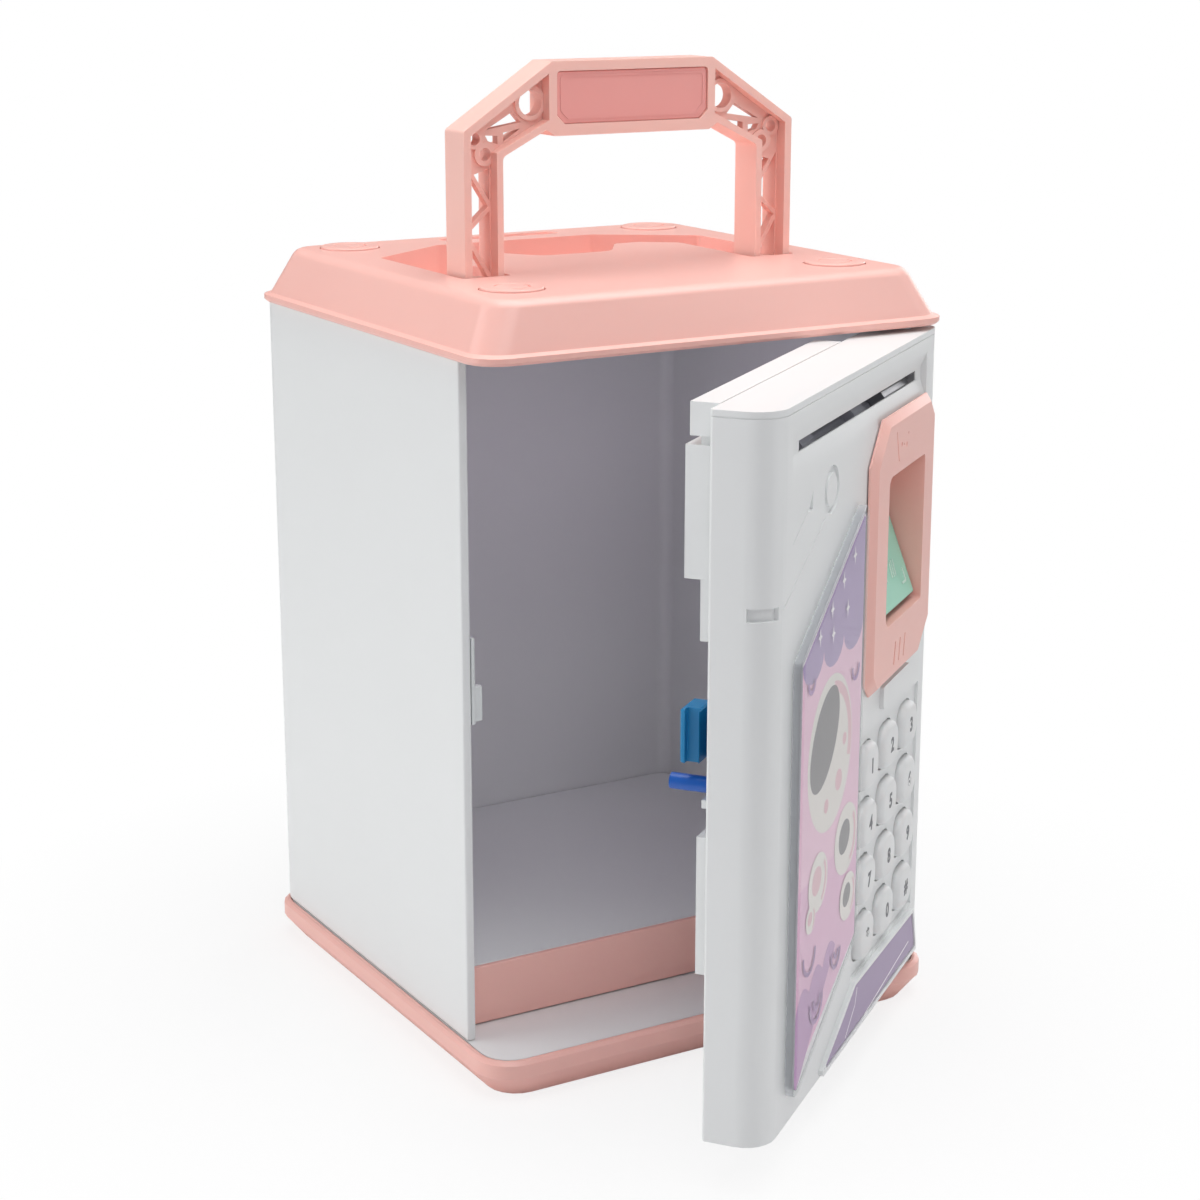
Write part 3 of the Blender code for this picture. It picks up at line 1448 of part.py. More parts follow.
def card_outline(inset):
    left = CARD_LEFT + inset
    right = CARD_RIGHT - inset
    return rounded(
        (
            (left, CARD_BOTTOM + 1.4 * inset),
            (right, CARD_LOW_RIGHT + 0.5 * inset),
            (right, CARD_PEAK - 1.5 * inset),
            (left, CARD_SHOULDER - 0.5 * inset),
        ),
        (2 * MM, 1.2 * MM, 1 * MM, 2 * MM),
        3,
    )


def card_window():
    """The clear raised cover over the picture card, hollow behind."""
    front = DOOR_OUTER - CARD_PROUD
    rings = (
        (0.0, DOOR_OUTER - GAP),
        (0.0, front + 0.6 * MM),
        (0.6 * MM, front),
    )
    cover = loft(
        "card_window",
        [face_ring(card_outline(inset), y) for inset, y in rings],
        material("clear_plastic", (0.9, 0.92, 0.93), 0.08, transmission=0.9),
    )
    hollow = plate(
        "cut_card_hollow", card_outline(COVER_WALL), front + COVER_FRONT, DOOR_OUTER + 1 * MM, "Y"
    )
    cut(cover, hollow)
    return cover


def card_print():
    front = DOOR_OUTER - CARD_PROUD + COVER_FRONT + GAP
    return plate(
        "card_print",
        card_outline(COVER_WALL + GAP),
        front,
        front + PRINT_THICKNESS,
        "Y",
        material("card_print", (0.62, 0.44, 0.56), 0.5),
    )


def card_plateau():
    """The raised field on the door that the picture card lies on."""
    front = DOOR_OUTER - CARD_PROUD + COVER_FRONT + PRINT_THICKNESS + 2 * GAP
    return plate("join_card_plateau", card_outline(COVER_WALL + GAP), front, DOOR_OUTER + 1 * MM, "Y")


def lower_badge():
    high = DOOR_OUTER + BADGE_SEAT_DEPTH - GAP
    return plate(
        "lower_badge",
        badge_outline(0.0),
        high - BADGE_THICKNESS,
        high,
        "Y",
        material("lilac_plastic", LILAC, 0.35),
    )


# ---------------------------------------------------------------- works inside the door


def feed_roller():
    """The driven shaft with two rubber tyres, below the note."""
    z = BILL_Z - 0.15 * MM - FEED_ROLLER_RADIUS
    return tyred_shaft("feed_roller", z, FEED_ROLLER_RADIUS, -47 * MM, 26 * MM)


def pinch_roller():
    """The idle shaft above the note, pressed against the driven one."""
    z = BILL_Z + 0.25 * MM + PINCH_ROLLER_RADIUS
    return tyred_shaft("pinch_roller", z, PINCH_ROLLER_RADIUS, -47 * MM, 26 * MM)


def tyred_shaft(name, z, radius, left, right):
    steps = 20
    rubber = material("black_rubber", (0.03, 0.03, 0.035), 0.7)
    profile = [(left, 0.0), (left, SHAFT_RADIUS)]
    for centre in TYRE_CENTRES:
        low, high = centre - TYRE_LENGTH / 2, centre + TYRE_LENGTH / 2
        profile += [(low, SHAFT_RADIUS), (low, radius), (high, radius), (high, SHAFT_RADIUS)]
    profile += [(right, SHAFT_RADIUS), (right, 0.0)]
    bm = bmesh.new()
    points = [bm.verts.new((along, 0.0, out)) for along, out in profile]
    edges = [bm.edges.new(pair) for pair in zip(points, points[1:])]
    bmesh.ops.spin(bm, geom=points + edges, cent=(0, 0, 0), axis=(1, 0, 0), angle=math.tau, steps=steps)
    bmesh.ops.remove_doubles(bm, verts=bm.verts, dist=0.001 * MM)
    bmesh.ops.translate(bm, verts=bm.verts, vec=(0, ROLLER_Y, z))
    return new_object(name, mesh_from(bm, name), rubber, smooth=True), (0, ROLLER_Y, z)


def feed_motor():
    """The can motor in line with the driven shaft."""
    z = BILL_Z - 0.15 * MM - FEED_ROLLER_RADIUS
    return cylinder(
        "feed_motor", (37.6 * MM, ROLLER_Y, z), 5.4 * MM, 22 * MM, "X", steel(), steps=24
    )


def circuit_board():
    return box(
        "circuit_board",
        (1 * MM, -60.6 * MM, 27 * MM),
        (50 * MM, -59.2 * MM, 96 * MM),
        material("board_green", (0.03, 0.2, 0.08), 0.4),
    )


def key_membrane():
    return box(
        "key_membrane",
        (1 * MM, -61.9 * MM, 28 * MM),
        (50 * MM, -60.9 * MM, 90 * MM),
        material("grey_silicone", (0.35, 0.35, 0.37), 0.6),
    )


def batteries():
    cells = []
    look = material("battery_wrap", (0.05, 0.06, 0.07), 0.35)
    for index, z in enumerate(BATTERY_Z):
        cell = cylinder(
            f"battery_{index + 1}",
            (BATTERY_X, BATTERY_Y, z),
            BATTERY_RADIUS,
            2 * BATTERY_HALF_LENGTH,
            "X",
            look,
        )
        cells.append(cell)
    return cells


def battery_tray():
    """The cradle on the shell's inner face, with a round seat for each cell."""
    tray = box(
        "battery_tray",
        (-57.2 * MM, DOOR_OUTER + DOOR_SHELL + GAP, 51 * MM),
        (-3.2 * MM, BATTERY_Y, 83 * MM),
        material("grey_plastic", (0.45, 0.46, 0.48), 0.45),
    )
    bm = bmesh.new()
    for z in BATTERY_Z:
        length = 2 * BATTERY_HALF_LENGTH + 2 * GAP
        add_cylinder(bm, (BATTERY_X, BATTERY_Y, z), BATTERY_RADIUS + GAP, length, "X", 24)
    seats = new_object("cut_battery_seats", mesh_from(bm, "battery_seats"))
    cut(tray, seats)
    return tray


def battery_cover():
    cover = box(
        "battery_cover",
        (-57.6 * MM + GAP, -48.7 * MM, 52 * MM + GAP),
        (4 * MM - GAP, -47.1 * MM, 82 * MM - GAP),
        white_plastic(),
    )
    hole = cylinder("cut_cover_screw", (0.0, -48 * MM, 67 * MM), 1.5 * MM, 6 * MM, "Y", steps=16)
    cut(cover, hole)
    mesh = screw_mesh("battery_screw", 2.2 * MM, 1 * MM, 1.1 * MM, 7 * MM)
    facing_in = Matrix.Rotation(-math.pi / 2, 4, "X")
    return cover, screw("battery_screw", mesh, (0.0, -45.8 * MM, 67 * MM), facing_in)


def speaker():
    paper = material("speaker_cone", (0.08, 0.08, 0.08), 0.5)
    return cylinder("speaker", SPEAKER_PLACE, 13 * MM, 4 * MM, "Y", paper, end_radius=11 * MM)


def latch_motor():
    """The can motor whose cam drives the bolt."""
    return cylinder("latch_motor", LATCH_MOTOR_PLACE, 5.2 * MM, 18 * MM, "X", steel(), steps=24)


def latch_bolt():
    """The blue channel-shaped bolt that slides sideways to hook the strike."""
    look = material("blue_plastic", BLUE, 0.3)
    web = BOLT_RIGHT - 2.6 * MM
    outline = (
        (BOLT_LEFT, -61 * MM),
        (BOLT_RIGHT, -61 * MM),
        (BOLT_RIGHT, -42.2 * MM),
        (BOLT_LEFT, -42.2 * MM),
        (BOLT_LEFT, -46.8 * MM),
        (web, -46.8 * MM),
        (web, -58.4 * MM),
        (BOLT_LEFT, -58.4 * MM),
    )
    bolt = plate("latch_bolt", outline, 100.2 * MM, 113 * MM, "Z", look, smooth=False)
    round_edges(bolt, 0.4 * MM, 1)
    return bolt


def release_pin():
    """The smooth blue rod below the bolt, which slides with it."""
    look = material("deep_blue_plastic", DEEP_BLUE, 0.3)
    middle = (RELEASE_X, RELEASE_MIDDLE, RELEASE_Z)
    pin = cylinder("release_pin", middle, RELEASE_RADIUS, RELEASE_LENGTH, "Y", look, steps=24)
    stem = box(
        "join_release_stem",
        (RELEASE_X - 1 * MM, RELEASE_MIDDLE - RELEASE_LENGTH / 2, RELEASE_Z),
        (RELEASE_X + 2 * MM, RELEASE_MIDDLE - RELEASE_LENGTH / 2 + 2.4 * MM, RELEASE_Z + 5.3 * MM),
    )
    join(pin, stem)
    return pin


# ---------------------------------------------------------------- assembly


def build_base():
    tray = base_tray()
    ledge = ledge_plate()
    base_screws(tray, ledge)
    floor_box(BASE_HEIGHT)
    wall_shell()
    latch_strike()


def build_lid():
    lid = lid_cover()
    ceiling_plate()
    lid_caps(lid)


def build_handle():
    pivot = (0.0, HANDLE_Y, HANDLE_PIVOT_Z)
    empty = new_empty("handle_axis", pivot)
    place_on(empty, pivot, handle_frame(), *handle_pins())


def build_door():
    pivot = Vector((HINGE_X, HINGE_Y, 0.0))
    empty = new_empty("door_axis", pivot, DOOR_REST_ANGLE)
    shell = door_front()
    panel = door_back()
    fixed = [shell, panel, *door_screws(panel), *hinge_pins()]
    fixed += [fingerprint_bezel(), card_window(), card_print()]
    fixed += [lower_badge(), feed_motor(), circuit_board(), key_membrane(), *batteries(), battery_tray()]
    fixed += [*battery_cover(), speaker(), latch_motor()]
    place_on(empty, pivot, *fixed)
    for index, (column, row) in enumerate(key_places()):
        place_on(empty, (column, DOOR_OUTER, row), key(index, column, row))
    for piece, origin in (fingerprint_pad(), feed_roller(), pinch_roller()):
        place_on(empty, origin, piece)
    place_on(empty, (-55 * MM, DOOR_INNER, 106.6 * MM), latch_bolt(), release_pin())


clear_scene()
PARTS = new_collection("toy_cash_safe")
CUTTERS = new_collection("cutters")
GUIDES_OF = {}
REST_ORIGIN = {}
build_base()
build_lid()
build_handle()
build_door()
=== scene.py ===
"""Looks for the toy cash safe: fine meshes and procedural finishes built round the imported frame.

Metres, +Z up. Door pieces are built as the door stands when closed, and then DOOR_TURN turns them
to its half-open rest position.
"""

import json
import math

import bmesh
import bpy
from mathutils import Matrix, Vector

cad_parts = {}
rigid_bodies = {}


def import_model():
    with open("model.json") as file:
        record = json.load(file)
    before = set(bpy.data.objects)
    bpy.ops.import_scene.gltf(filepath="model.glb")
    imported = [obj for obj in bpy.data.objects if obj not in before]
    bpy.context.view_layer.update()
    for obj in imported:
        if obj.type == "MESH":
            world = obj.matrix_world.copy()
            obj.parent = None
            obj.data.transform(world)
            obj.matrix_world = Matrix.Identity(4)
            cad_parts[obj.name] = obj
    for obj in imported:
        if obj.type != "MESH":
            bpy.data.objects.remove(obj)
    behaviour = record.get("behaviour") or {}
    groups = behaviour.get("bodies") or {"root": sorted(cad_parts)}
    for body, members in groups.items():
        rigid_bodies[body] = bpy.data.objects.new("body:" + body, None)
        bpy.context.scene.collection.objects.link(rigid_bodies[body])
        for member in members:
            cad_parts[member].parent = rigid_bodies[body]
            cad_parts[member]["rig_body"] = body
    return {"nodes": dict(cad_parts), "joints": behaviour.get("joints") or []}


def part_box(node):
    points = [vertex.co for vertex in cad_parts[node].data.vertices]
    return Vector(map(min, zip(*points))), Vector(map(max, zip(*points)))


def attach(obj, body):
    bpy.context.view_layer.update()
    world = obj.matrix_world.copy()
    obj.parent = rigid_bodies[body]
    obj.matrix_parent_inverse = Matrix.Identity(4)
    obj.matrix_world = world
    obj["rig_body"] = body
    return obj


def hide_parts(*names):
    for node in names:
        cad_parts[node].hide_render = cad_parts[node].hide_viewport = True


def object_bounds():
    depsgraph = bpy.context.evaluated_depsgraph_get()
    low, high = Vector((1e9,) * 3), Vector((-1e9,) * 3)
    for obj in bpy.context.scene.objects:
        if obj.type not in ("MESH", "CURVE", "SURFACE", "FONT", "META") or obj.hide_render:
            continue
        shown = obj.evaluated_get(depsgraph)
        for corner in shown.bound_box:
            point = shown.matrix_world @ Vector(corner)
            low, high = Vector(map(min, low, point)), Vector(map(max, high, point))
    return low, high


MM = 0.001
# The gap that keeps a thin added piece just clear of the face it lies on.
SKIN = 0.02 * MM

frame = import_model()
cad_low, cad_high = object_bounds()
NODES = frame["nodes"]
HINGE = next(joint for joint in frame["joints"] if joint["name"] == "door_hinge")
PIVOT = Vector(HINGE["pos_m"])
DOOR_TURN = (
    Matrix.Translation(PIVOT)
    @ Matrix.Rotation(math.radians(-HINGE["range_deg"][0]), 4, "Z")
    @ Matrix.Translation(-PIVOT)
)


# ---------------------------------------------------------------- finishes


def srgb(red, green, blue):
    """A colour given in display values from 0 to 255, as the linear values that shaders take."""
    linear = []
    for value in (red, green, blue):
        share = value / 255
        linear.append(share / 12.92 if share <= 0.04045 else ((share + 0.055) / 1.055) ** 2.4)
    return (*linear, 1.0)


def noise(tree, place, scale, detail=3.0):
    """Noise in the object's own coordinates; scale counts its waves to the metre."""
    node = tree.nodes.new("ShaderNodeTexNoise")
    node.inputs["Scale"].default_value = scale
    node.inputs["Detail"].default_value = detail
    tree.links.new(place.outputs["Object"], node.inputs["Vector"])
    return node.outputs["Fac"]


def spread(tree, value, low, high, start=0.3, end=0.7, clamp=False):
    """Maps a value from its usual span to the span from low to high."""
    node = tree.nodes.new("ShaderNodeMapRange")
    node.clamp = clamp
    node.inputs["From Min"].default_value = start
    node.inputs["From Max"].default_value = end
    node.inputs["To Min"].default_value = low
    node.inputs["To Max"].default_value = high
    tree.links.new(value, node.inputs["Value"])
    return node.outputs["Result"]


def bumped(tree, heights):
    """Bump nodes in a row, one for each (height, strength, distance)."""
    normal = None
    for height, strength, distance in heights:
        node = tree.nodes.new("ShaderNodeBump")
        node.inputs["Strength"].default_value = strength
        node.inputs["Distance"].default_value = distance
        tree.links.new(height, node.inputs["Height"])
        if normal:
            tree.links.new(normal, node.inputs["Normal"])
        normal = node.outputs["Normal"]
    return normal


MOTTLE_SCALE = 22.0
SATURATION_SCALE = 9.0
GLOSS_SCALE = 60.0
PEEL_SCALE = 700.0
GRAIN_SCALE = 1500.0
PLASTIC_IOR = 1.52


def moulded(
    name,
    colour,
    roughness,
    mottle=0.01,
    peel=0.05,
    grain=0.04,
    depth=0.0,
    metal=0.0,
    wear=0.012,
):
    """Moulded plastic: a slight mottle in colour and gloss, orange peel and a fine mould grain."""
    made = bpy.data.materials.new(name)
    made.use_nodes = True
    made.diffuse_color = colour
    tree = made.node_tree
    shader = tree.nodes["Principled BSDF"]
    place = tree.nodes.new("ShaderNodeTexCoord")
    shade = tree.nodes.new("ShaderNodeHueSaturation")
    shade.inputs["Color"].default_value = colour
    for channel, scale in (("Value", MOTTLE_SCALE), ("Saturation", SATURATION_SCALE)):
        amount = spread(tree, noise(tree, place, scale), 1.0 - mottle, 1.0 + mottle)
        tree.links.new(amount, shade.inputs[channel])
    tree.links.new(shade.outputs["Color"], shader.inputs["Base Color"])
    gloss = spread(tree, noise(tree, place, GLOSS_SCALE, 5.0), roughness - wear, roughness + wear)
    tree.links.new(gloss, shader.inputs["Roughness"])
    waves = noise(tree, place, PEEL_SCALE, 2.0)
    pits = noise(tree, place, GRAIN_SCALE, 2.0)
    normal = bumped(tree, ((waves, peel, 0.03 * MM), (pits, grain, 0.01 * MM)))
    tree.links.new(normal, shader.inputs["Normal"])
    shader.inputs["IOR"].default_value = PLASTIC_IOR
    shader.inputs["Metallic"].default_value = metal
    if depth:
        shader.inputs["Subsurface Weight"].default_value = 0.25
        shader.inputs["Subsurface Radius"].default_value = (1.0, 0.8, 0.75)
        shader.inputs["Subsurface Scale"].default_value = depth
    return made


def product(tree, value, factor):
    """Multiplies a socket's value by another socket's value or by a number."""
    node = tree.nodes.new("ShaderNodeMath")
    node.operation = "MULTIPLY"
    tree.links.new(value, node.inputs[0])
    if isinstance(factor, float):
        node.inputs[1].default_value = factor
    else:
        tree.links.new(factor, node.inputs[1])
    return node.outputs["Value"]


def mixed(tree, factor, first, second):
    """Two shaders blended by a socket's value."""
    node = tree.nodes.new("ShaderNodeMixShader")
    tree.links.new(factor, node.inputs["Fac"])
    tree.links.new(first, node.inputs[1])
    tree.links.new(second, node.inputs[2])
    return node.outputs["Shader"]


FILM_IOR = 1.46
FILM_ROUGHNESS = 0.08
FILM_RIPPLE_SCALE = 260.0


def clear_film(name, tint, haze):
    """Clear plastic: light passes straight through, and its outer side mirrors at a low angle."""
    made = bpy.data.materials.new(name)
    made.use_nodes = True
    tree = made.node_tree
    tree.nodes.remove(tree.nodes["Principled BSDF"])
    through = tree.nodes.new("ShaderNodeBsdfTransparent")
    through.inputs["Color"].default_value = tint
    mirror = tree.nodes.new("ShaderNodeBsdfGlossy")
    mirror.inputs["Roughness"].default_value = FILM_ROUGHNESS
    body = tree.nodes.new("ShaderNodeBsdfDiffuse")
    body.inputs["Color"].default_value = srgb(214, 214, 220)
    place = tree.nodes.new("ShaderNodeTexCoord")
    waves = noise(tree, place, FILM_RIPPLE_SCALE, 2.0)
    ripple = bumped(tree, ((waves, 0.25, 0.05 * MM),))
    tree.links.new(ripple, mirror.inputs["Normal"])
    fresnel = tree.nodes.new("ShaderNodeFresnel")
    fresnel.inputs["IOR"].default_value = FILM_IOR
    geometry = tree.nodes.new("ShaderNodeNewGeometry")
    outside = spread(tree, geometry.outputs["Backfacing"], 1.0, 0.0, 0.0, 1.0)
    veil = product(tree, outside, haze)
    clouded = mixed(tree, veil, through.outputs["BSDF"], body.outputs["BSDF"])
    shine = product(tree, fresnel.outputs["Fac"], outside)
    surface = mixed(tree, shine, clouded, mirror.outputs["BSDF"])
    tree.links.new(surface, tree.nodes["Material Output"].inputs["Surface"])
    return made


PINK = moulded("pink_abs", srgb(249, 194, 184), 0.36, depth=0.5 * MM)
# The handle's pink is a lighter copy of the body's pink: painted light that brightens the handle.
LIT_HANDLE_PINK = moulded("pink_abs_handle_painted_light", srgb(254, 204, 193), 0.34, depth=0.9 * MM)
DEEP_PINK = moulded(
    "pink_abs_plaque", srgb(244, 170, 164), 0.42, peel=0.1, grain=0.1, depth=0.5 * MM
)
WHITE = moulded("white_abs", srgb(234, 236, 236), 0.34, mottle=0.004)
WALL_WHITE = moulded("white_wall_sheet", srgb(234, 236, 236), 0.33, mottle=0.004)
KEY_WHITE = moulded("key_abs", srgb(230, 231, 231), 0.34, mottle=0.004, depth=0.4 * MM)
LEGEND = moulded("legend_ink", srgb(116, 116, 120), 0.5)
MINT = moulded("mint_silicone", srgb(168, 222, 200), 0.45, depth=0.5 * MM)
MINT_LINE = moulded("mint_ridge", srgb(214, 238, 226), 0.4)
LILAC = moulded("lilac_film", srgb(163, 144, 178), 0.34)
BLUE = moulded("blue_abs", srgb(0, 128, 184), 0.34, mottle=0.03)
DEEP_BLUE = moulded("deep_blue_abs", srgb(14, 92, 186), 0.34, mottle=0.03)
FROSTED = moulded("frosted_strike", srgb(222, 226, 226), 0.22)
STEEL = moulded(
    "zinc_steel", srgb(196, 196, 200), 0.38, mottle=0.06, grain=0.2, metal=1.0, wear=0.04
)
ROLLER = moulded("roller_sleeve", srgb(196, 198, 208), 0.5, mottle=0.02, grain=0.2)
SILICONE = moulded("grey_silicone", srgb(150, 150, 154), 0.6)
BOARD = moulded("solder_mask", srgb(22, 96, 52), 0.35, mottle=0.1)
WRAP = moulded("cell_wrap", srgb(46, 50, 58), 0.34, mottle=0.08)
GREY = moulded("grey_abs", srgb(158, 160, 164), 0.45)
CONE = moulded("speaker_paper", srgb(44, 44, 46), 0.8, mottle=0.15, grain=0.4)
CLEAR = clear_film("clear_cover", (1.0, 1.0, 1.0, 1.0), 0.04)
# The side walls' copy of the clear film: its darker tint and heavy grey haze are painted shade.
SHADED_CLEAR_WALL = clear_film("clear_cover_wall_painted_shade", (0.82, 0.84, 0.84, 1.0), 0.42)
CARD_PINK = moulded("card_pink", srgb(238, 190, 220), 0.5)
CARD_BLUSH = moulded("card_blush", srgb(246, 204, 226), 0.5)
CARD_CLOUD = moulded("card_cloud", srgb(176, 154, 198), 0.5)
CARD_SHADE = moulded("card_shade", srgb(196, 150, 198), 0.5)
CARD_DUSK = moulded("card_dusk", srgb(164, 122, 176), 0.5)
CARD_CREAM = moulded("card_cream", srgb(240, 236, 230), 0.5)
CARD_GREY = moulded("card_grey", srgb(122, 120, 122), 0.5)
CARD_ROSE = moulded("card_rose", srgb(236, 196, 204), 0.5)
CARD_WHITE = moulded("card_white", srgb(244, 240, 244), 0.5)


# ---------------------------------------------------------------- modelling kit


def new_piece(name, mesh, look, smooth_angle=35.0):
    """An object with one finish; edges sharper than the angle stay sharp."""
    piece = bpy.data.objects.new(name, mesh)
    bpy.context.scene.collection.objects.link(piece)
    mesh.materials.clear()
    mesh.materials.append(look)
    mesh.shade_smooth()
    mesh.set_sharp_from_angle(angle=math.radians(smooth_angle))
    return piece


def mesh_from(bm, name):
    """Turns faces outward, writes the mesh and frees the work copy."""
    bmesh.ops.recalc_face_normals(bm, faces=bm.faces)
    mesh = bpy.data.meshes.new(name)
    bm.to_mesh(mesh)
    bm.free()
    return mesh


WELD_DISTANCE = 0.004 * MM


def cleaned(mesh):
    """Welds a mesh and merges the triangles of its flat faces."""
    bm = bmesh.new()
    bm.from_mesh(mesh)
    bmesh.ops.remove_doubles(bm, verts=bm.verts, dist=WELD_DISTANCE)
    bmesh.ops.dissolve_degenerate(bm, edges=bm.edges, dist=WELD_DISTANCE)
    bmesh.ops.dissolve_limit(bm, angle_limit=math.radians(0.5), verts=bm.verts, edges=bm.edges)
    return mesh_from(bm, mesh.name)


def settled(piece):
    """Applies a piece's modifiers."""
    graph = bpy.context.evaluated_depsgraph_get()
    mesh = bpy.data.meshes.new_from_object(piece.evaluated_get(graph))
    piece.modifiers.clear()
    piece.data = mesh


def carve(piece, cutters):
    """Cuts helper objects out of a piece and removes them."""
    for cutter in cutters:
        modifier = piece.modifiers.new("carve", "BOOLEAN")
        modifier.operation = "DIFFERENCE"
        modifier.object = cutter
    settled(piece)
    for cutter in cutters:
        bpy.data.objects.remove(cutter, do_unlink=True)
    piece.data = cleaned(piece.data)


def soften(piece, width, segments=3, angle=32.0):
    """Rounds a piece's edges and keeps its flat faces looking flat."""
    bevel = piece.modifiers.new("rounded_edges", "BEVEL")
    bevel.width = width
    bevel.segments = segments
    bevel.limit_method = "ANGLE"
    bevel.angle_limit = math.radians(angle)
    bevel.use_clamp_overlap = True
    piece.data.shade_smooth()
    settled(piece)
    piece.data.shade_smooth()
    piece.data.set_sharp_from_angle(angle=math.radians(50))
    weighted = piece.modifiers.new("flat_faces", "WEIGHTED_NORMAL")
    weighted.keep_sharp = True


def body_of(node):
    """The name of the moving body that a CAD node belongs to."""
    return NODES[node]["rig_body"]


def refined(node, look, width, cutters=()):
    """A fine copy of a CAD node that replaces it, with details cut in and edges rounded."""
    piece = new_piece(node + "_skin", cleaned(NODES[node].data.copy()), look)
    if cutters:
        carve(piece, cutters)
    piece.data.materials.clear()
    piece.data.materials.append(look)
    soften(piece, width)
    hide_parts(node)
    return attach(piece, body_of(node))


def paint(look, *nodes):
    """Gives CAD nodes a finish and leaves their shape alone."""
    for node in nodes:
        mesh = NODES[node].data
        mesh.materials.clear()
        mesh.materials.append(look)


def closed_box(node):
    """A door node's lowest and highest corner as the door stands when closed."""
    back = DOOR_TURN.inverted()
    points = [back @ vertex.co for vertex in NODES[node].data.vertices]
    low = Vector([min(point[i] for point in points) for i in range(3)])
    high = Vector([max(point[i] for point in points) for i in range(3)])
    return low, high


def on_door(piece):
    """Turns a piece built for the closed door to the door's rest position."""
    piece.data.transform(DOOR_TURN)
    return piece


BADGE_SUNK = 0.3 * MM
DOOR_FACE = closed_box("lower_badge")[1].y - BADGE_SUNK


def prism_mesh(name, outline, front, back):
    """A closed prism of an (x, z) outline between two depths."""
    bm = bmesh.new()
    near = [bm.verts.new((x, front, z)) for x, z in outline]
    far = [bm.verts.new((x, back, z)) for x, z in outline]
    count = len(outline)
    for i in range(count):
        bm.faces.new((near[i], near[(i + 1) % count], far[(i + 1) % count], far[i]))
    bm.faces.new(near)
    bm.faces.new(far)
    return mesh_from(bm, name)


def box_mesh(name, low, high):
    """A box between its lowest and highest corner."""
    bm = bmesh.new()
    low, high = Vector(low), Vector(high)
    scale = Matrix.Diagonal((*(high - low), 1.0))
    bmesh.ops.create_cube(bm, size=1.0, matrix=Matrix.Translation((low + high) / 2) @ scale)
    return mesh_from(bm, name)


def rounded(corners, radii, steps=6):
    """The polygon through the corners, with each corner turned into an arc of its radius."""
    outline = []
    count = len(corners)
    for i, corner in enumerate(corners):
        here = Vector(corner)
        if not radii[i]:
            outline.append(here)
            continue
        back = (Vector(corners[i - 1]) - here).normalized()
        ahead = (Vector(corners[(i + 1) % count]) - here).normalized()
        half = back.angle(ahead) / 2
        centre = here + (back + ahead).normalized() * (radii[i] / math.sin(half))
        start = here + back * (radii[i] / math.tan(half)) - centre
        end = here + ahead * (radii[i] / math.tan(half)) - centre
        sweep = start.angle_signed(end)
        for step in range(steps + 1):
            outline.append(centre + Matrix.Rotation(-sweep * step / steps, 2) @ start)
    return outline


def rounded_rectangle(half_u, half_v, radius, steps):
    """A rectangle's outline about the origin, with each corner rounded."""
    corners = ((-half_u, -half_v), (half_u, -half_v), (half_u, half_v), (-half_u, half_v))
    return rounded(corners, [radius] * 4, steps)


def on_circle(centre, radius, angle):
    """The point of a circle at an angle in radians."""
    return centre[0] + radius * math.cos(angle), centre[1] + radius * math.sin(angle)


def arc_band(centre, radius, width, start, end, steps):
    """The outline of a band along a circle, from one angle to another in degrees."""
    outline = []
    for reach, first, last in ((radius + width / 2, start, end), (radius - width / 2, end, start)):
        for step in range(steps + 1):
            angle = math.radians(first + (last - first) * step / steps)
            outline.append(on_circle(centre, reach, angle))
    return outline


def stroke(start, end, width):
    """The outline of a straight line with a width."""
    start, end = Vector(start), Vector(end)
    side = (end - start).orthogonal().normalized() * width / 2
    return [start + side, end + side, end - side, start - side]


def ellipse(centre, half_u, half_v, tilt=0.0, steps=48):
    """An ellipse's outline, tilted by an angle in degrees."""
    turn = Matrix.Rotation(math.radians(tilt), 2)
    points = []
    for step in range(steps):
        angle = math.tau * step / steps
        point = Vector((half_u * math.cos(angle), half_v * math.sin(angle)))
        points.append(Vector(centre) + turn @ point)
    return points


def loft_mesh(name, rings):
    """A closed mesh through rings that have equally many points."""
    bm = bmesh.new()
    loops = [[bm.verts.new(point) for point in ring] for ring in rings]
    count = len(loops[0])
    for lower, upper in zip(loops, loops[1:]):
        for i in range(count):
            bm.faces.new((lower[i], lower[(i + 1) % count], upper[(i + 1) % count], upper[i]))
    bm.faces.new(loops[0])
    bm.faces.new(loops[-1])
    return mesh_from(bm, name)


def helper(data):
    """An object used only on the way to a piece."""
    obj = bpy.data.objects.new(data.name, data)
    bpy.context.scene.collection.objects.link(obj)
    return obj


# ---------------------------------------------------------------- cabinet, base and lid


def cabinet():
    """The wall, the plates in it, the base and the strike for the bolt."""
    refined("wall_shell", WALL_WHITE, 0.35 * MM)
    refined("ledge_plate", WHITE, 0.5 * MM)
    refined("base_tray", PINK, 0.5 * MM)
    refined("floor_box", PINK, 0.4 * MM)
    refined("floor_liner", WHITE, 0.3 * MM)
    refined("latch_strike", FROSTED, 0.25 * MM)
    paint(STEEL, "base_screw_fl", "base_screw_fr", "base_screw_bl", "base_screw_br")


def lid():
    """The lid, the ceiling plate under it and its four round caps."""
    refined("lid_cover", PINK, 0.3 * MM)
    refined("ceiling_plate", WHITE, 0.3 * MM)
    for end in ("fl", "fr", "bl", "br"):
        lid_cap("lid_cap_" + end)


CAP_EDGE_RADIUS = 0.45 * MM
CAP_CROWN = 0.12 * MM
CAP_STEPS = 64
SWIRL_RADIUS = 4.2 * MM
SWIRL_WIDTH = 0.7 * MM
SWIRL_DEPTH = 0.35 * MM


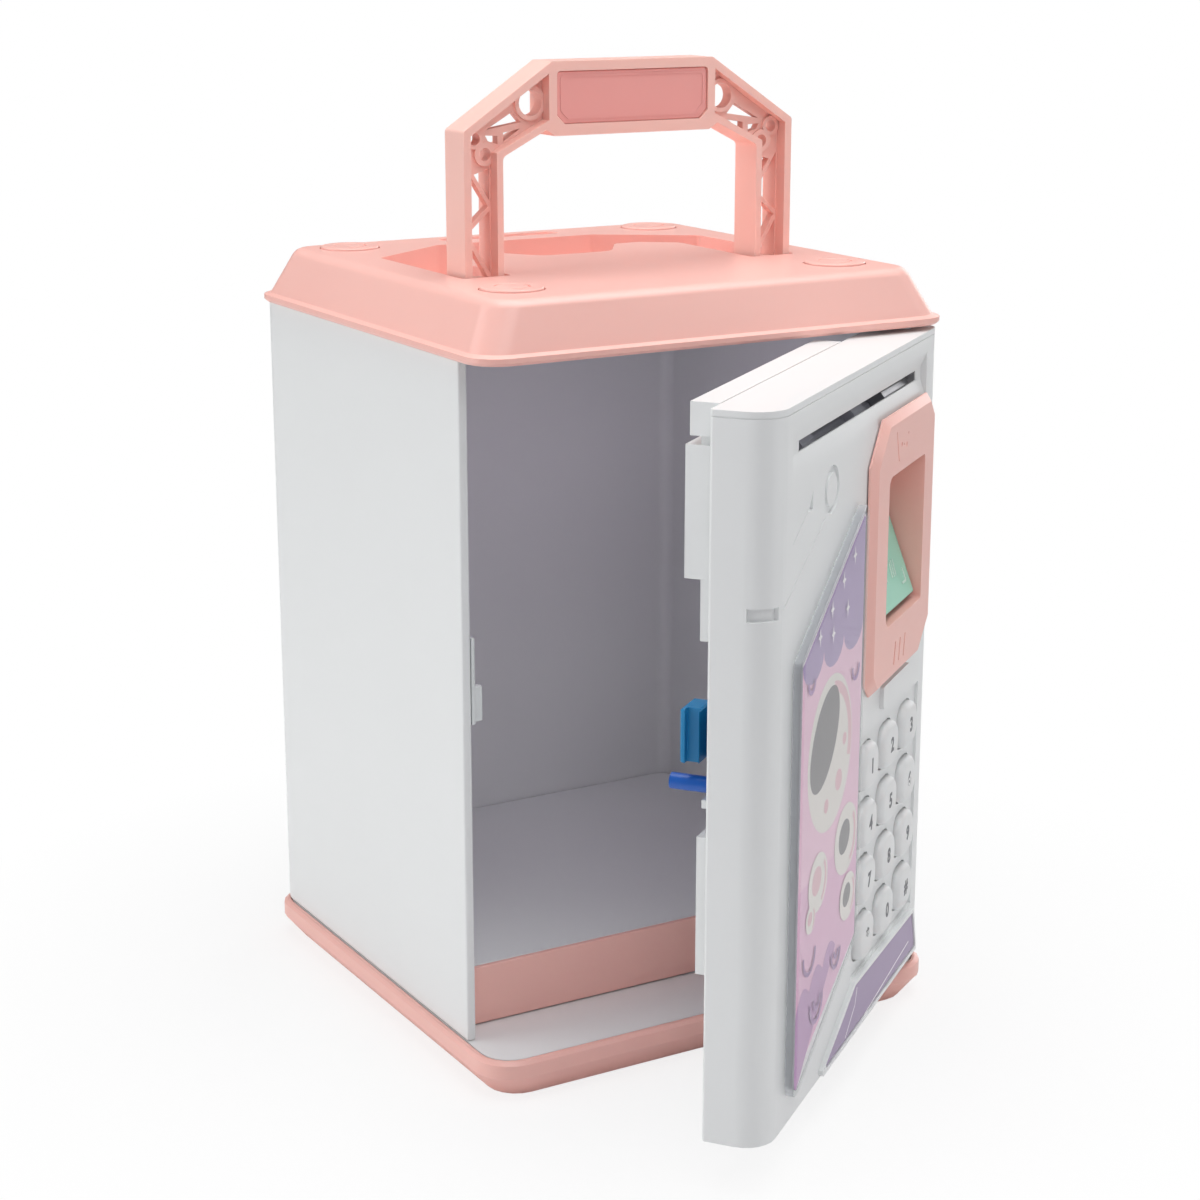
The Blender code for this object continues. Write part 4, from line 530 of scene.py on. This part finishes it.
def lid_cap(node):
    """A low disc with a rounded edge and an open ring pressed into it."""
    low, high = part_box(node)
    centre = (low + high) / 2
    radius = (high.x - low.x) / 2
    profile = [(radius, low.z), (radius, high.z - CAP_EDGE_RADIUS)]
    for step in range(1, 6):
        angle = math.radians(18 * step)
        inward = CAP_EDGE_RADIUS * (1 - math.cos(angle))
        profile.append((radius - inward, high.z - CAP_EDGE_RADIUS * (1 - math.sin(angle))))
    profile.append((radius * 0.3, high.z + CAP_CROWN))
    angles = [math.tau * step / CAP_STEPS for step in range(CAP_STEPS)]
    rings = []
    for reach, z in profile:
        rings.append([(*on_circle(centre, reach, angle), z) for angle in angles])
    piece = new_piece(node + "_skin", loft_mesh(node, rings), PINK)
    ring = arc_band((0.0, 0.0), SWIRL_RADIUS, SWIRL_WIDTH, -150, 120, 20)
    groove = prism_mesh("swirl", ring, -SWIRL_DEPTH, 1 * MM)
    place = Matrix.Translation((centre.x, centre.y, high.z))
    groove.transform(place @ Matrix.Rotation(math.pi / 2, 4, "X"))
    carve(piece, [helper(groove)])
    piece.data.materials.clear()
    piece.data.materials.append(PINK)
    soften(piece, 0.12 * MM, 2, 50.0)
    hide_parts(node)
    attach(piece, body_of(node))


PLAQUE_HALF_WIDTH = 22 * MM
PLAQUE_BELOW_TOP = (15.3 * MM, 2.4 * MM)
PLAQUE_CORNER = 2.2 * MM
PLAQUE_RECESS = 0.9 * MM
PANEL_THICKNESS = 0.45 * MM
PANEL_GAP = 0.15 * MM
RIM_INSET = 1.1 * MM
RIM_WIDTH = 0.4 * MM
RIM_HEIGHT = 0.17 * MM


def plaque_outline(low, high, inset):
    """The outline of the grip's front panel, with its lower corners cut off."""
    middle = (low.x + high.x) / 2
    half = PLAQUE_HALF_WIDTH - inset
    bottom = high.z - PLAQUE_BELOW_TOP[0] + inset
    top = high.z - PLAQUE_BELOW_TOP[1] - inset
    corners = (
        (middle - half + PLAQUE_CORNER, bottom),
        (middle + half - PLAQUE_CORNER, bottom),
        (middle + half, bottom + PLAQUE_CORNER),
        (middle + half, top),
        (middle - half, top),
        (middle - half, bottom + PLAQUE_CORNER),
    )
    return rounded(corners, (0, 0, 0, 1 * MM, 1 * MM, 0))


def handle():
    """The carrying handle, and the darker panel with a raised rim in its grip."""
    # The frame takes the lighter pink copy, which is painted light; its pins keep the plain pink.
    refined("handle_frame", LIT_HANDLE_PINK, 0.3 * MM)
    paint(PINK, "handle_pin_left", "handle_pin_right")
    low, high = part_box("handle_frame")
    back = low.y + PLAQUE_RECESS
    front = back - PANEL_THICKNESS
    outline = plaque_outline(low, high, PANEL_GAP)
    mesh = prism_mesh("grip_panel", outline, front, back - SKIN)
    panel = new_piece("grip_panel", mesh, DEEP_PINK)
    soften(panel, 0.25 * MM)
    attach(panel, "handle")
    rim = plaque_outline(low, high, RIM_INSET)
    inner = plaque_outline(low, high, RIM_INSET + RIM_WIDTH)
    ridge = helper(prism_mesh("grip_rim", rim, front - RIM_HEIGHT, front - SKIN))
    hollow = helper(prism_mesh("grip_rim_hollow", inner, back - 1 * MM, back + 1 * MM))
    carve(ridge, [hollow])
    ridge.data.materials.append(DEEP_PINK)
    ridge.name = "grip_panel_rim"
    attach(ridge, "handle")


# ---------------------------------------------------------------- door


FREE_EDGE_RADIUS = 7.5 * MM
SEAM_BELOW_TOP = 1.4 * MM
SEAM_WIDTH = 0.3 * MM
SEAM_DEPTH = 0.2 * MM


def door_edge_path(low, high, inset):
    """The door's outline from above: its free side, the rounded free edge and its front."""
    corners = (
        (low.x + inset, high.y + 1 * MM),
        (low.x + inset, DOOR_FACE + inset),
        (high.x + 1 * MM, DOOR_FACE + inset),
    )
    return rounded(corners, (0, FREE_EDGE_RADIUS - inset, 0), 10)


def seam_cutter():
    """A thin line round the door, just below its top."""
    low, high = closed_box("door_front")
    outline = door_edge_path(low, high, -1 * MM) + door_edge_path(low, high, SEAM_DEPTH)[::-1]
    upper = SEAM_BELOW_TOP - high.z
    mesh = prism_mesh("seam_line", outline, upper, upper + SEAM_WIDTH)
    mesh.transform(Matrix.Rotation(-math.pi / 2, 4, "X"))
    return helper(mesh)


# Fine lines in the door's upper left front, each from one (x, z) to another.
FACE_LINES = (
    ((-41.2 * MM, 158.0 * MM), (-53.8 * MM, 151.6 * MM)),
    ((-30 * MM, 152.6 * MM), (-59.4 * MM, 138.6 * MM)),
)
FACE_LINE_WIDTH = 0.35 * MM
FACE_LINE_DEPTH = 0.3 * MM


def door_shell():
    """The door's front shell with its fine lines."""
    cutters = []
    for start, end in FACE_LINES:
        outline = stroke(start, end, FACE_LINE_WIDTH)
        mesh = prism_mesh("face_line", outline, DOOR_FACE - 1 * MM, DOOR_FACE + FACE_LINE_DEPTH)
        cutters.append(on_door(helper(mesh)))
    cutters.append(on_door(seam_cutter()))
    refined("door_front", WHITE, 0.3 * MM, cutters=cutters)


BOLT_FLANGE = 1.2 * MM
BOLT_GROOVE_WIDTH = 3.2 * MM
BOLT_GROOVE_DEPTH = 1.8 * MM


def bolt_groove():
    """The upright groove behind the bolt's inner flange."""
    low, high = closed_box("latch_bolt")
    groove = box_mesh(
        "bolt_groove",
        (low.x - 1 * MM, high.y - BOLT_FLANGE - BOLT_GROOVE_WIDTH, low.z - 1 * MM),
        (low.x + BOLT_GROOVE_DEPTH, high.y - BOLT_FLANGE, high.z + 1 * MM),
    )
    return on_door(helper(groove))


def door_inside():
    """The door's back panel, the lock, and what the door holds."""
    refined("door_back", WHITE, 0.6 * MM)
    refined("battery_cover", WHITE, 0.3 * MM)
    refined("latch_bolt", BLUE, 0.25 * MM, cutters=[bolt_groove()])
    refined("release_pin", DEEP_BLUE, 0.4 * MM)
    paint(STEEL, "door_screw_tl", "door_screw_tr", "door_screw_bl", "door_screw_br")
    paint(STEEL, "hinge_pin_bottom", "hinge_pin_top", "battery_screw", "feed_motor", "latch_motor")
    paint(ROLLER, "feed_roller", "pinch_roller")
    paint(SILICONE, "key_membrane")
    paint(BOARD, "circuit_board")
    paint(WRAP, "battery_1", "battery_2")
    paint(GREY, "battery_tray")
    paint(CONE, "speaker")


# The line pressed into the bezel above its window, then its small dots: x, z and half width.
READER_LINE = ((19.6 * MM, 163.2 * MM), (22.3 * MM, 155.4 * MM))
READER_LINE_WIDTH = 0.55 * MM
READER_DOTS = (
    (24.4 * MM, 159.4 * MM, 0.5 * MM),
    (26.6 * MM, 159.0 * MM, 0.35 * MM),
    (28.9 * MM, 158.6 * MM, 0.6 * MM),
    (30.3 * MM, 161.2 * MM, 0.35 * MM),
)
READER_MARK_DEPTH = 0.4 * MM


def reader():
    """The press pad's housing, with a line and dots pressed into its front."""
    proud = closed_box("fingerprint_bezel")[0].y
    marks = [stroke(*READER_LINE, READER_LINE_WIDTH)]
    for x, z, size in READER_DOTS:
        marks.append(ellipse((x, z), size, size * 1.2, steps=10))
    cutters = []
    for outline in marks:
        mesh = prism_mesh("reader_mark", outline, proud - 1 * MM, proud + READER_MARK_DEPTH)
        cutters.append(on_door(helper(mesh)))
    refined("fingerprint_bezel", PINK, 0.5 * MM, cutters=cutters)


def front_face(node):
    """The frame of a door node's largest front face, from the middle of the face's lower edge."""
    back = DOOR_TURN.inverted()
    mesh = NODES[node].data
    facing = [face for face in mesh.polygons if (back.to_3x3() @ face.normal).y < -0.5]
    widest = max(facing, key=lambda face: face.area)
    outward = (back.to_3x3() @ widest.normal).normalized()
    up = Vector((1, 0, 0)).cross(-outward).normalized()
    level = (back @ mesh.vertices[widest.vertices[0]].co).dot(outward)
    points = [back @ vertex.co for vertex in mesh.vertices]
    points = [point for point in points if abs(point.dot(outward) - level) < 0.02 * MM]
    middle = (min(point.x for point in points) + max(point.x for point in points)) / 2
    foot = Vector((middle, 0, 0)) + outward * level + up * min(point.dot(up) for point in points)
    turned = Matrix((Vector((1, 0, 0)), -outward, up)).transposed().to_4x4()
    return DOOR_TURN @ Matrix.Translation(foot) @ turned


PAD_CENTRE = 13.4 * MM
PAD_RIDGE_WIDTH = 0.5 * MM
PAD_RIDGE_HEIGHT = 0.18 * MM
PAD_RING_STEP = 1.45 * MM
PAD_CORNER_WIDTH = 0.55 * MM
PAD_CORNER_REACH = 11.4 * MM
PAD_CORNER_UP = 3.4 * MM
PAD_CORNER_ACROSS = 3.2 * MM
# The height of each pair of corner marks above the pad's foot, and the way its uprights point.
PAD_CORNER_LEVELS = ((3.4 * MM, 1), (23.4 * MM, -1))


def pad_lines():
    """The outlines of the pad's ridges: arcs, the strokes below them and four corner marks."""
    outlines = []
    for ring in range(5):
        radius = 1.4 * MM + PAD_RING_STEP * ring
        half = (215 - 14 * ring) / 2
        centre = (0.0, PAD_CENTRE)
        outlines.append(arc_band(centre, radius, PAD_RIDGE_WIDTH, 90 - half, 90 + half, 28))
    for side in (-1, 1):
        for reach in (3.2 * MM, 4.7 * MM, 6.2 * MM):
            start = (side * reach, PAD_CENTRE - 3 * MM)
            end = (side * (reach - 0.9 * MM), PAD_CENTRE - 7.2 * MM)
            outlines.append(stroke(start, end, PAD_RIDGE_WIDTH))
        for level, step in PAD_CORNER_LEVELS:
            corner = (side * PAD_CORNER_REACH, level)
            upright = (side * PAD_CORNER_REACH, level + step * PAD_CORNER_UP)
            across = (side * (PAD_CORNER_REACH - PAD_CORNER_ACROSS), level)
            outlines.append(stroke(corner, upright, PAD_CORNER_WIDTH))
            outlines.append(stroke(corner, across, PAD_CORNER_WIDTH))
    return outlines


def pad():
    """The press pad with its raised lines."""
    refined("fingerprint_pad", MINT, 0.3 * MM)
    lean = front_face("fingerprint_pad")
    for index, outline in enumerate(pad_lines()):
        mesh = prism_mesh("pad_line", outline, -PAD_RIDGE_HEIGHT, -SKIN)
        mesh.transform(lean)
        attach(new_piece(f"pad_line_{index:02d}", mesh, MINT_LINE), body_of("fingerprint_pad"))


KEY_NAMES = ("1", "2", "3", "4", "5", "6", "7", "8", "9", "star", "0", "hash")
KEY_LEGENDS = {"star": "*", "hash": "#"}
KEY_BACK_CLEARANCE = 0.2 * MM
KEY_CORNER = 4.6 * MM
KEY_FILLET = 1.7 * MM
LEGEND_SIZE = 5.2 * MM
LEGEND_THICKENING = 0.18 * MM
LEGEND_HEIGHT = 0.03 * MM


def key_cap(name):
    """A domed key."""
    node = "key_" + name
    low, high = closed_box(node)
    centre = (low + high) / 2
    half_u = (high.x - low.x) / 2
    half_v = (high.z - low.z) / 2
    profile = [(0.0, high.y - KEY_BACK_CLEARANCE), (0.0, low.y + KEY_FILLET)]
    for step in range(1, 8):
        angle = math.radians(step * 11)
        inset = KEY_FILLET * (1 - math.cos(angle))
        profile.append((inset, low.y + KEY_FILLET * (1 - math.sin(angle))))
    profile.append((half_v * 0.6, low.y))
    rings = []
    for inset, y in profile:
        corner = max(KEY_CORNER - inset, 1 * MM)
        outline = rounded_rectangle(half_u - inset, half_v - inset, corner, 8)
        rings.append([(centre.x + u, y, centre.z + v) for u, v in outline])
    cap = on_door(new_piece(node + "_cap", loft_mesh(node, rings), KEY_WHITE, 60.0))
    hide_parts(node)
    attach(cap, body_of(node))
    key_legend(name, Vector((centre.x, low.y - SKIN, centre.z)))


def key_legend(name, place):
    """The number, star or hash printed on a key's crown."""
    node = "key_" + name
    letters = bpy.data.curves.new(node + "_legend", "FONT")
    letters.body = KEY_LEGENDS.get(name, name)
    letters.align_x = "CENTER"
    letters.align_y = "CENTER"
    letters.size = LEGEND_SIZE
    letters.extrude = LEGEND_HEIGHT
    letters.offset = LEGEND_THICKENING
    holder = helper(letters)
    graph = bpy.context.evaluated_depsgraph_get()
    mesh = bpy.data.meshes.new_from_object(holder.evaluated_get(graph))
    bpy.data.objects.remove(holder, do_unlink=True)
    mesh.transform(Matrix.Translation(place) @ Matrix.Rotation(math.pi / 2, 4, "X"))
    ink = on_door(new_piece(node + "_legend", mesh, LEGEND))
    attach(ink, body_of(node))


PRINT_STEP = 0.012 * MM


def layer(name, outline, look, level, body):
    """One flat printed shape on the door, a little in front of the ones below it."""
    front = level - PRINT_STEP
    mesh = prism_mesh(name, outline, front, level + PRINT_STEP / 2)
    piece = on_door(new_piece(name, mesh, look))
    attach(piece, body)
    return front


def scallops(left, right, level, radius, count, top):
    """A cloud's outline: round lobes hang below a level, and the points of its top close it."""
    outline = []
    width = (right - left) / count
    for lobe in range(count):
        centre = left + width * (lobe + 0.5)
        for step in range(9):
            angle = math.pi * (1 + step / 8)
            x = centre + width / 2 * math.cos(angle)
            outline.append((x, level + radius * math.sin(angle)))
    return outline + list(top)


def star(centre, reach):
    """A small four-pointed star."""
    outline = []
    for point in range(8):
        radius = reach if point % 2 == 0 else reach * 0.34
        angle = math.tau * point / 8
        x = centre[0] + radius * math.cos(angle)
        outline.append((x, centre[1] + radius * 1.5 * math.sin(angle)))
    return outline


def print_ends(low, high):
    """The card's lowest and highest z at its left edge, then at its right edge."""
    back = DOOR_TURN.inverted()
    points = [back @ vertex.co for vertex in NODES["card_print"].data.vertices]
    left = [point.z for point in points if point.x < low.x + 0.4 * MM]
    right = [point.z for point in points if point.x > high.x - 0.4 * MM]
    return min(left), max(left), min(right), max(right)


def card_clouds(low, high):
    """The card's two grounds and two clouds."""
    right = high.x - 0.05 * MM
    left = low.x + 0.05 * MM
    left_low, left_top, right_low, right_top = print_ends(low, high)
    top = (
        (right, right_top - 0.9 * MM),
        (right - 0.9 * MM, right_top - 0.1 * MM),
        (left + 1.6 * MM, left_top + 0.7 * MM),
        (left, left_top - 0.1 * MM),
    )
    hump = []
    for step in range(25):
        share = step / 24
        swell = 3.4 * MM * abs(math.sin(math.pi * 3 * share))
        hump.append((left + (-21 * MM - left) * share, 40 * MM + 6 * MM * share + swell))
    foot = [(left, 22 * MM), (left + 1.6 * MM, 21 * MM)]
    return [
        ("pink", [(left, left_low + 0.1 * MM), (right, right_low + 0.1 * MM), *top], CARD_PINK),
        ("blush", [(left, 70 * MM), (right, 70 * MM), *top], CARD_BLUSH),
        ("cloud_top", scallops(left, right, 123 * MM, 5.4 * MM, 3, top), CARD_CLOUD),
        ("cloud_low", list(reversed(hump)) + foot, CARD_SHADE),
    ]


# The card's round shapes in millimetres on the closed door: x, z and the half sizes or the radius.
PLANET = (-29.2, 96.8, 17.2, 18.8)
PLANET_SEA = (-33.6, 101.4, 13.4, 8.6)
CRATERS = ((-22, 88, 2.6), (-31.5, 84.5, 1.7), (-18, 97, 1.5))
MOONS = (
    (-14.8, 70.8, 9.2, 8.8),
    (-36.8, 67.6, 7.4, 7.2),
    (-12.2, 55.2, 6.4, 6.0),
    (-42.2, 60.4, 3.6, 3.4),
)
CRESCENTS = (
    (-42.6, 51.6, 4.4),
    (-21.2, 43.8, 3.4),
    (-21, 44.4, 1.5),
    (-36.4, 37.4, 4.6),
    (-36, 38.2, 2.4),
    (-45.4, 118.4, 2.4),
    (-10.8, 112.4, 2.6),
)
STARS = ((-40, 127.4), (-31, 131.6), (-22.4, 136.4), (-14, 140.4), (-30, 125.6), (-19, 129))
STAR_REACH = 1.5 * MM


def card_planet():
    """The large planet with its rim, a grey sea and three craters."""
    x, z, half_u, half_v = PLANET
    centre = (x * MM, z * MM)
    rim = arc_band(centre, 15.6 * MM, 2.6 * MM, -18, 82, 30)
    shapes = [
        ("planet", ellipse(centre, half_u * MM, half_v * MM), CARD_CREAM),
        ("planet_rim", rim, CARD_ROSE),
    ]
    x, z, half_u, half_v = PLANET_SEA
    sea = ellipse((x * MM, z * MM), half_u * MM, half_v * MM, tilt=48)
    shapes.append(("planet_sea", sea, CARD_GREY))
    for number, (x, z, radius) in enumerate(CRATERS):
        crater = ellipse((x * MM, z * MM), radius * MM, radius * MM, steps=28)
        shapes.append((f"crater_{number}", crater, CARD_ROSE))
    return shapes


def card_moons():
    """Four small moons, each with a spot and a rim."""
    shapes = []
    for number, (x, z, half_u, half_v) in enumerate(MOONS):
        centre = (x * MM, z * MM)
        disc = ellipse(centre, half_u * MM, half_v * MM, steps=36)
        inner = (centre[0] - 0.14 * half_u * MM, centre[1] + 0.1 * half_v * MM)
        spot = ellipse(inner, 0.5 * half_u * MM, 0.46 * half_v * MM, tilt=30, steps=28)
        rim = arc_band(centre, 0.8 * half_u * MM, 0.16 * half_u * MM, -60, 40, 14)
        shapes.append((f"moon_{number}", disc, CARD_CREAM))
        shapes.append((f"moon_spot_{number}", spot, CARD_ROSE if number % 2 else CARD_GREY))
        shapes.append((f"moon_rim_{number}", rim, CARD_ROSE))
    return shapes


def card_pictures(low, high):
    """(name, outline, finish) of each printed shape, from the back to the front."""
    shapes = card_clouds(low, high) + card_planet() + card_moons()
    for number, (x, z, radius) in enumerate(CRESCENTS):
        band = arc_band((x * MM, z * MM), radius * MM, 1.1 * MM, 170, 370, 20)
        shapes.append((f"crescent_{number}", band, CARD_DUSK))
    for number, (x, z) in enumerate(STARS):
        shapes.append((f"star_{number}", star((x * MM, z * MM), STAR_REACH), CARD_WHITE))
    return shapes


# A cover face whose normal has less than this share along the door's depth is a side wall, and
# takes the film copy with painted shade.
COVER_WALL_SLOPE = 0.6


def card():
    """The clear cover, and under it the picture: clouds, a planet, moons, crescents and stars."""
    cover = refined("card_window", CLEAR, 0.2 * MM)
    # The side walls get the darker, hazier film copy, which paints their shade.
    cover.data.materials.append(SHADED_CLEAR_WALL)
    back = DOOR_TURN.inverted().to_3x3()
    for face in cover.data.polygons:
        face.material_index = int(abs((back @ face.normal).y) < COVER_WALL_SLOPE)
    low, high = closed_box("card_print")
    ground = new_piece("card_print_ground", cleaned(NODES["card_print"].data.copy()), CARD_WHITE)
    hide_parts("card_print")
    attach(ground, body_of("card_print"))
    level = low.y
    for name, outline, look in card_pictures(low, high):
        level = layer("card_" + name, outline, look, level, body_of("card_print"))


# The lower badge's white lines, each from one (x, z) to another.
BADGE_LINES = (
    ((2.8 * MM, 13 * MM), (53 * MM, 17.6 * MM)),
    ((-5.6 * MM, 14.6 * MM), (2.4 * MM, 20.2 * MM)),
    ((2.4 * MM, 20.2 * MM), (4 * MM, 24.4 * MM)),
)
BADGE_LINE_WIDTH = 0.45 * MM


def badge():
    """The lower badge with its thin white lines."""
    refined("lower_badge", LILAC, 0.2 * MM)
    level = closed_box("lower_badge")[0].y
    for number, (start, end) in enumerate(BADGE_LINES):
        outline = stroke(start, end, BADGE_LINE_WIDTH)
        layer(f"badge_line_{number}", outline, CARD_WHITE, level, "door")


# ---------------------------------------------------------------- stage


FLOOR_RADIUS = 9.0
FLOOR_GREY = 0.93
# How far the floor is seen as plain white: a share at each distance from its middle, in metres.
FADE_SHARES = (0.8, 1.0)
FADE_DISTANCES = (0.1, 0.2)


def floor():
    """A pale floor that brightens away from the object."""
    bm = bmesh.new()
    bmesh.ops.create_circle(bm, cap_ends=True, segments=64, radius=FLOOR_RADIUS)
    mesh = mesh_from(bm, "floor")
    plane = bpy.data.objects.new("floor", mesh)
    plane.location.z = cad_low.z - 0.05 * MM
    bpy.context.scene.collection.objects.link(plane)
    made = bpy.data.materials.new("floor")
    made.use_nodes = True
    tree = made.node_tree
    shader = tree.nodes["Principled BSDF"]
    shader.inputs["Base Color"].default_value = (FLOOR_GREY, FLOOR_GREY, FLOOR_GREY, 1.0)
    shader.inputs["Roughness"].default_value = 0.6
    place = tree.nodes.new("ShaderNodeTexCoord")
    far = tree.nodes.new("ShaderNodeVectorMath")
    far.operation = "LENGTH"
    tree.links.new(place.outputs["Object"], far.inputs[0])
    fade = spread(tree, far.outputs["Value"], *FADE_SHARES, *FADE_DISTANCES, clamp=True)
    glow = tree.nodes.new("ShaderNodeEmission")
    glow.inputs["Strength"].default_value = 1.0
    path = tree.nodes.new("ShaderNodeLightPath")
    seen = product(tree, fade, path.outputs["Is Camera Ray"])
    surface = mixed(tree, seen, shader.outputs["BSDF"], glow.outputs["Emission"])
    tree.links.new(surface, tree.nodes["Material Output"].inputs["Surface"])
    mesh.materials.append(made)


def world():
    """White to the camera, and a faint even light on everything else."""
    made = bpy.data.worlds.new("studio")
    made.use_nodes = True
    tree = made.node_tree
    even = tree.nodes["Background"]
    even.inputs["Color"].default_value = (0.96, 0.97, 1.0, 1.0)
    even.inputs["Strength"].default_value = 0.1
    backdrop = tree.nodes.new("ShaderNodeBackground")
    backdrop.inputs["Color"].default_value = (1.0, 1.0, 1.0, 1.0)
    path = tree.nodes.new("ShaderNodeLightPath")
    seen = path.outputs["Is Camera Ray"]
    surface = mixed(tree, seen, even.outputs["Background"], backdrop.outputs["Background"])
    tree.links.new(surface, tree.nodes["World Output"].inputs["Surface"])
    bpy.context.scene.world = made


CAMERA_LENS = 74.53
CAMERA_SENSOR = 36.0
CAMERA_PLACE = (-0.32674, -0.56293, 0.28059)
CAMERA_DOWN = 15.11
CAMERA_RIGHT = 30.32


def camera():
    """The photo's view: lens and sensor in millimetres, angles in degrees from straight ahead."""
    data = bpy.data.cameras.new("camera")
    data.lens = CAMERA_LENS
    data.sensor_width = CAMERA_SENSOR
    data.clip_start = 0.01
    eye = bpy.data.objects.new("camera", data)
    bpy.context.scene.collection.objects.link(eye)
    eye.location = CAMERA_PLACE
    eye.rotation_euler = (math.radians(90 - CAMERA_DOWN), 0.0, math.radians(-CAMERA_RIGHT))
    bpy.context.scene.camera = eye


NEUTRAL = (1.0, 1.0, 1.0)
# Each light: name, place, aim, size, power and colour.
LIGHTS = (
    ("left_softbox", (-1.3, 0.5, 0.5), (0.0, 0.0, 0.12), (1.1, 1.1), 11.0, NEUTRAL),
    ("right_softbox", (1.0, -0.8, 0.5), (0.0, 0.0, 0.12), (0.9, 1.1), 3.2, NEUTRAL),
    ("back_softbox", (1.35, 0.7, 0.4), (0.0, 0.0, 0.12), (0.8, 0.8), 4.0, NEUTRAL),
    ("top_softbox", (0.05, -0.04, 0.75), (0.0, 0.0, 0.2), (0.6, 0.6), 4.2, NEUTRAL),
    ("front_softbox", (-0.15, -0.5, 0.62), (0.0, -0.03, 0.24), (0.45, 0.2), 0.8, NEUTRAL),
    ("inside_fill", (-0.28, -0.62, 0.34), (0.01, 0.05, 0.1), (0.12, 0.12), 0.16, (1.0, 0.9, 1.04)),
    ("inside_glow", (0.0, -0.02, 0.18), (0.0, 0.03, 0.05), (0.08, 0.06), 0.014, (0.92, 0.66, 1.0)),
)


def area_light(name, place, aim, size, power, colour):
    """A softbox that lights the scene and is never seen itself."""
    data = bpy.data.lights.new(name, "AREA")
    data.shape = "RECTANGLE"
    data.size, data.size_y = size
    data.energy = power
    data.color = colour
    lamp = bpy.data.objects.new(name, data)
    bpy.context.scene.collection.objects.link(lamp)
    lamp.location = place
    lamp.visible_camera = False
    lamp.rotation_euler = (Vector(aim) - Vector(place)).to_track_quat("-Z", "Y").to_euler()


cabinet()
lid()
handle()
door_shell()
door_inside()
reader()
pad()
for key_name in KEY_NAMES:
    key_cap(key_name)
card()
badge()
floor()
world()
for light in LIGHTS:
    area_light(*light)
camera()
bpy.context.scene.view_settings.view_transform = "Standard"
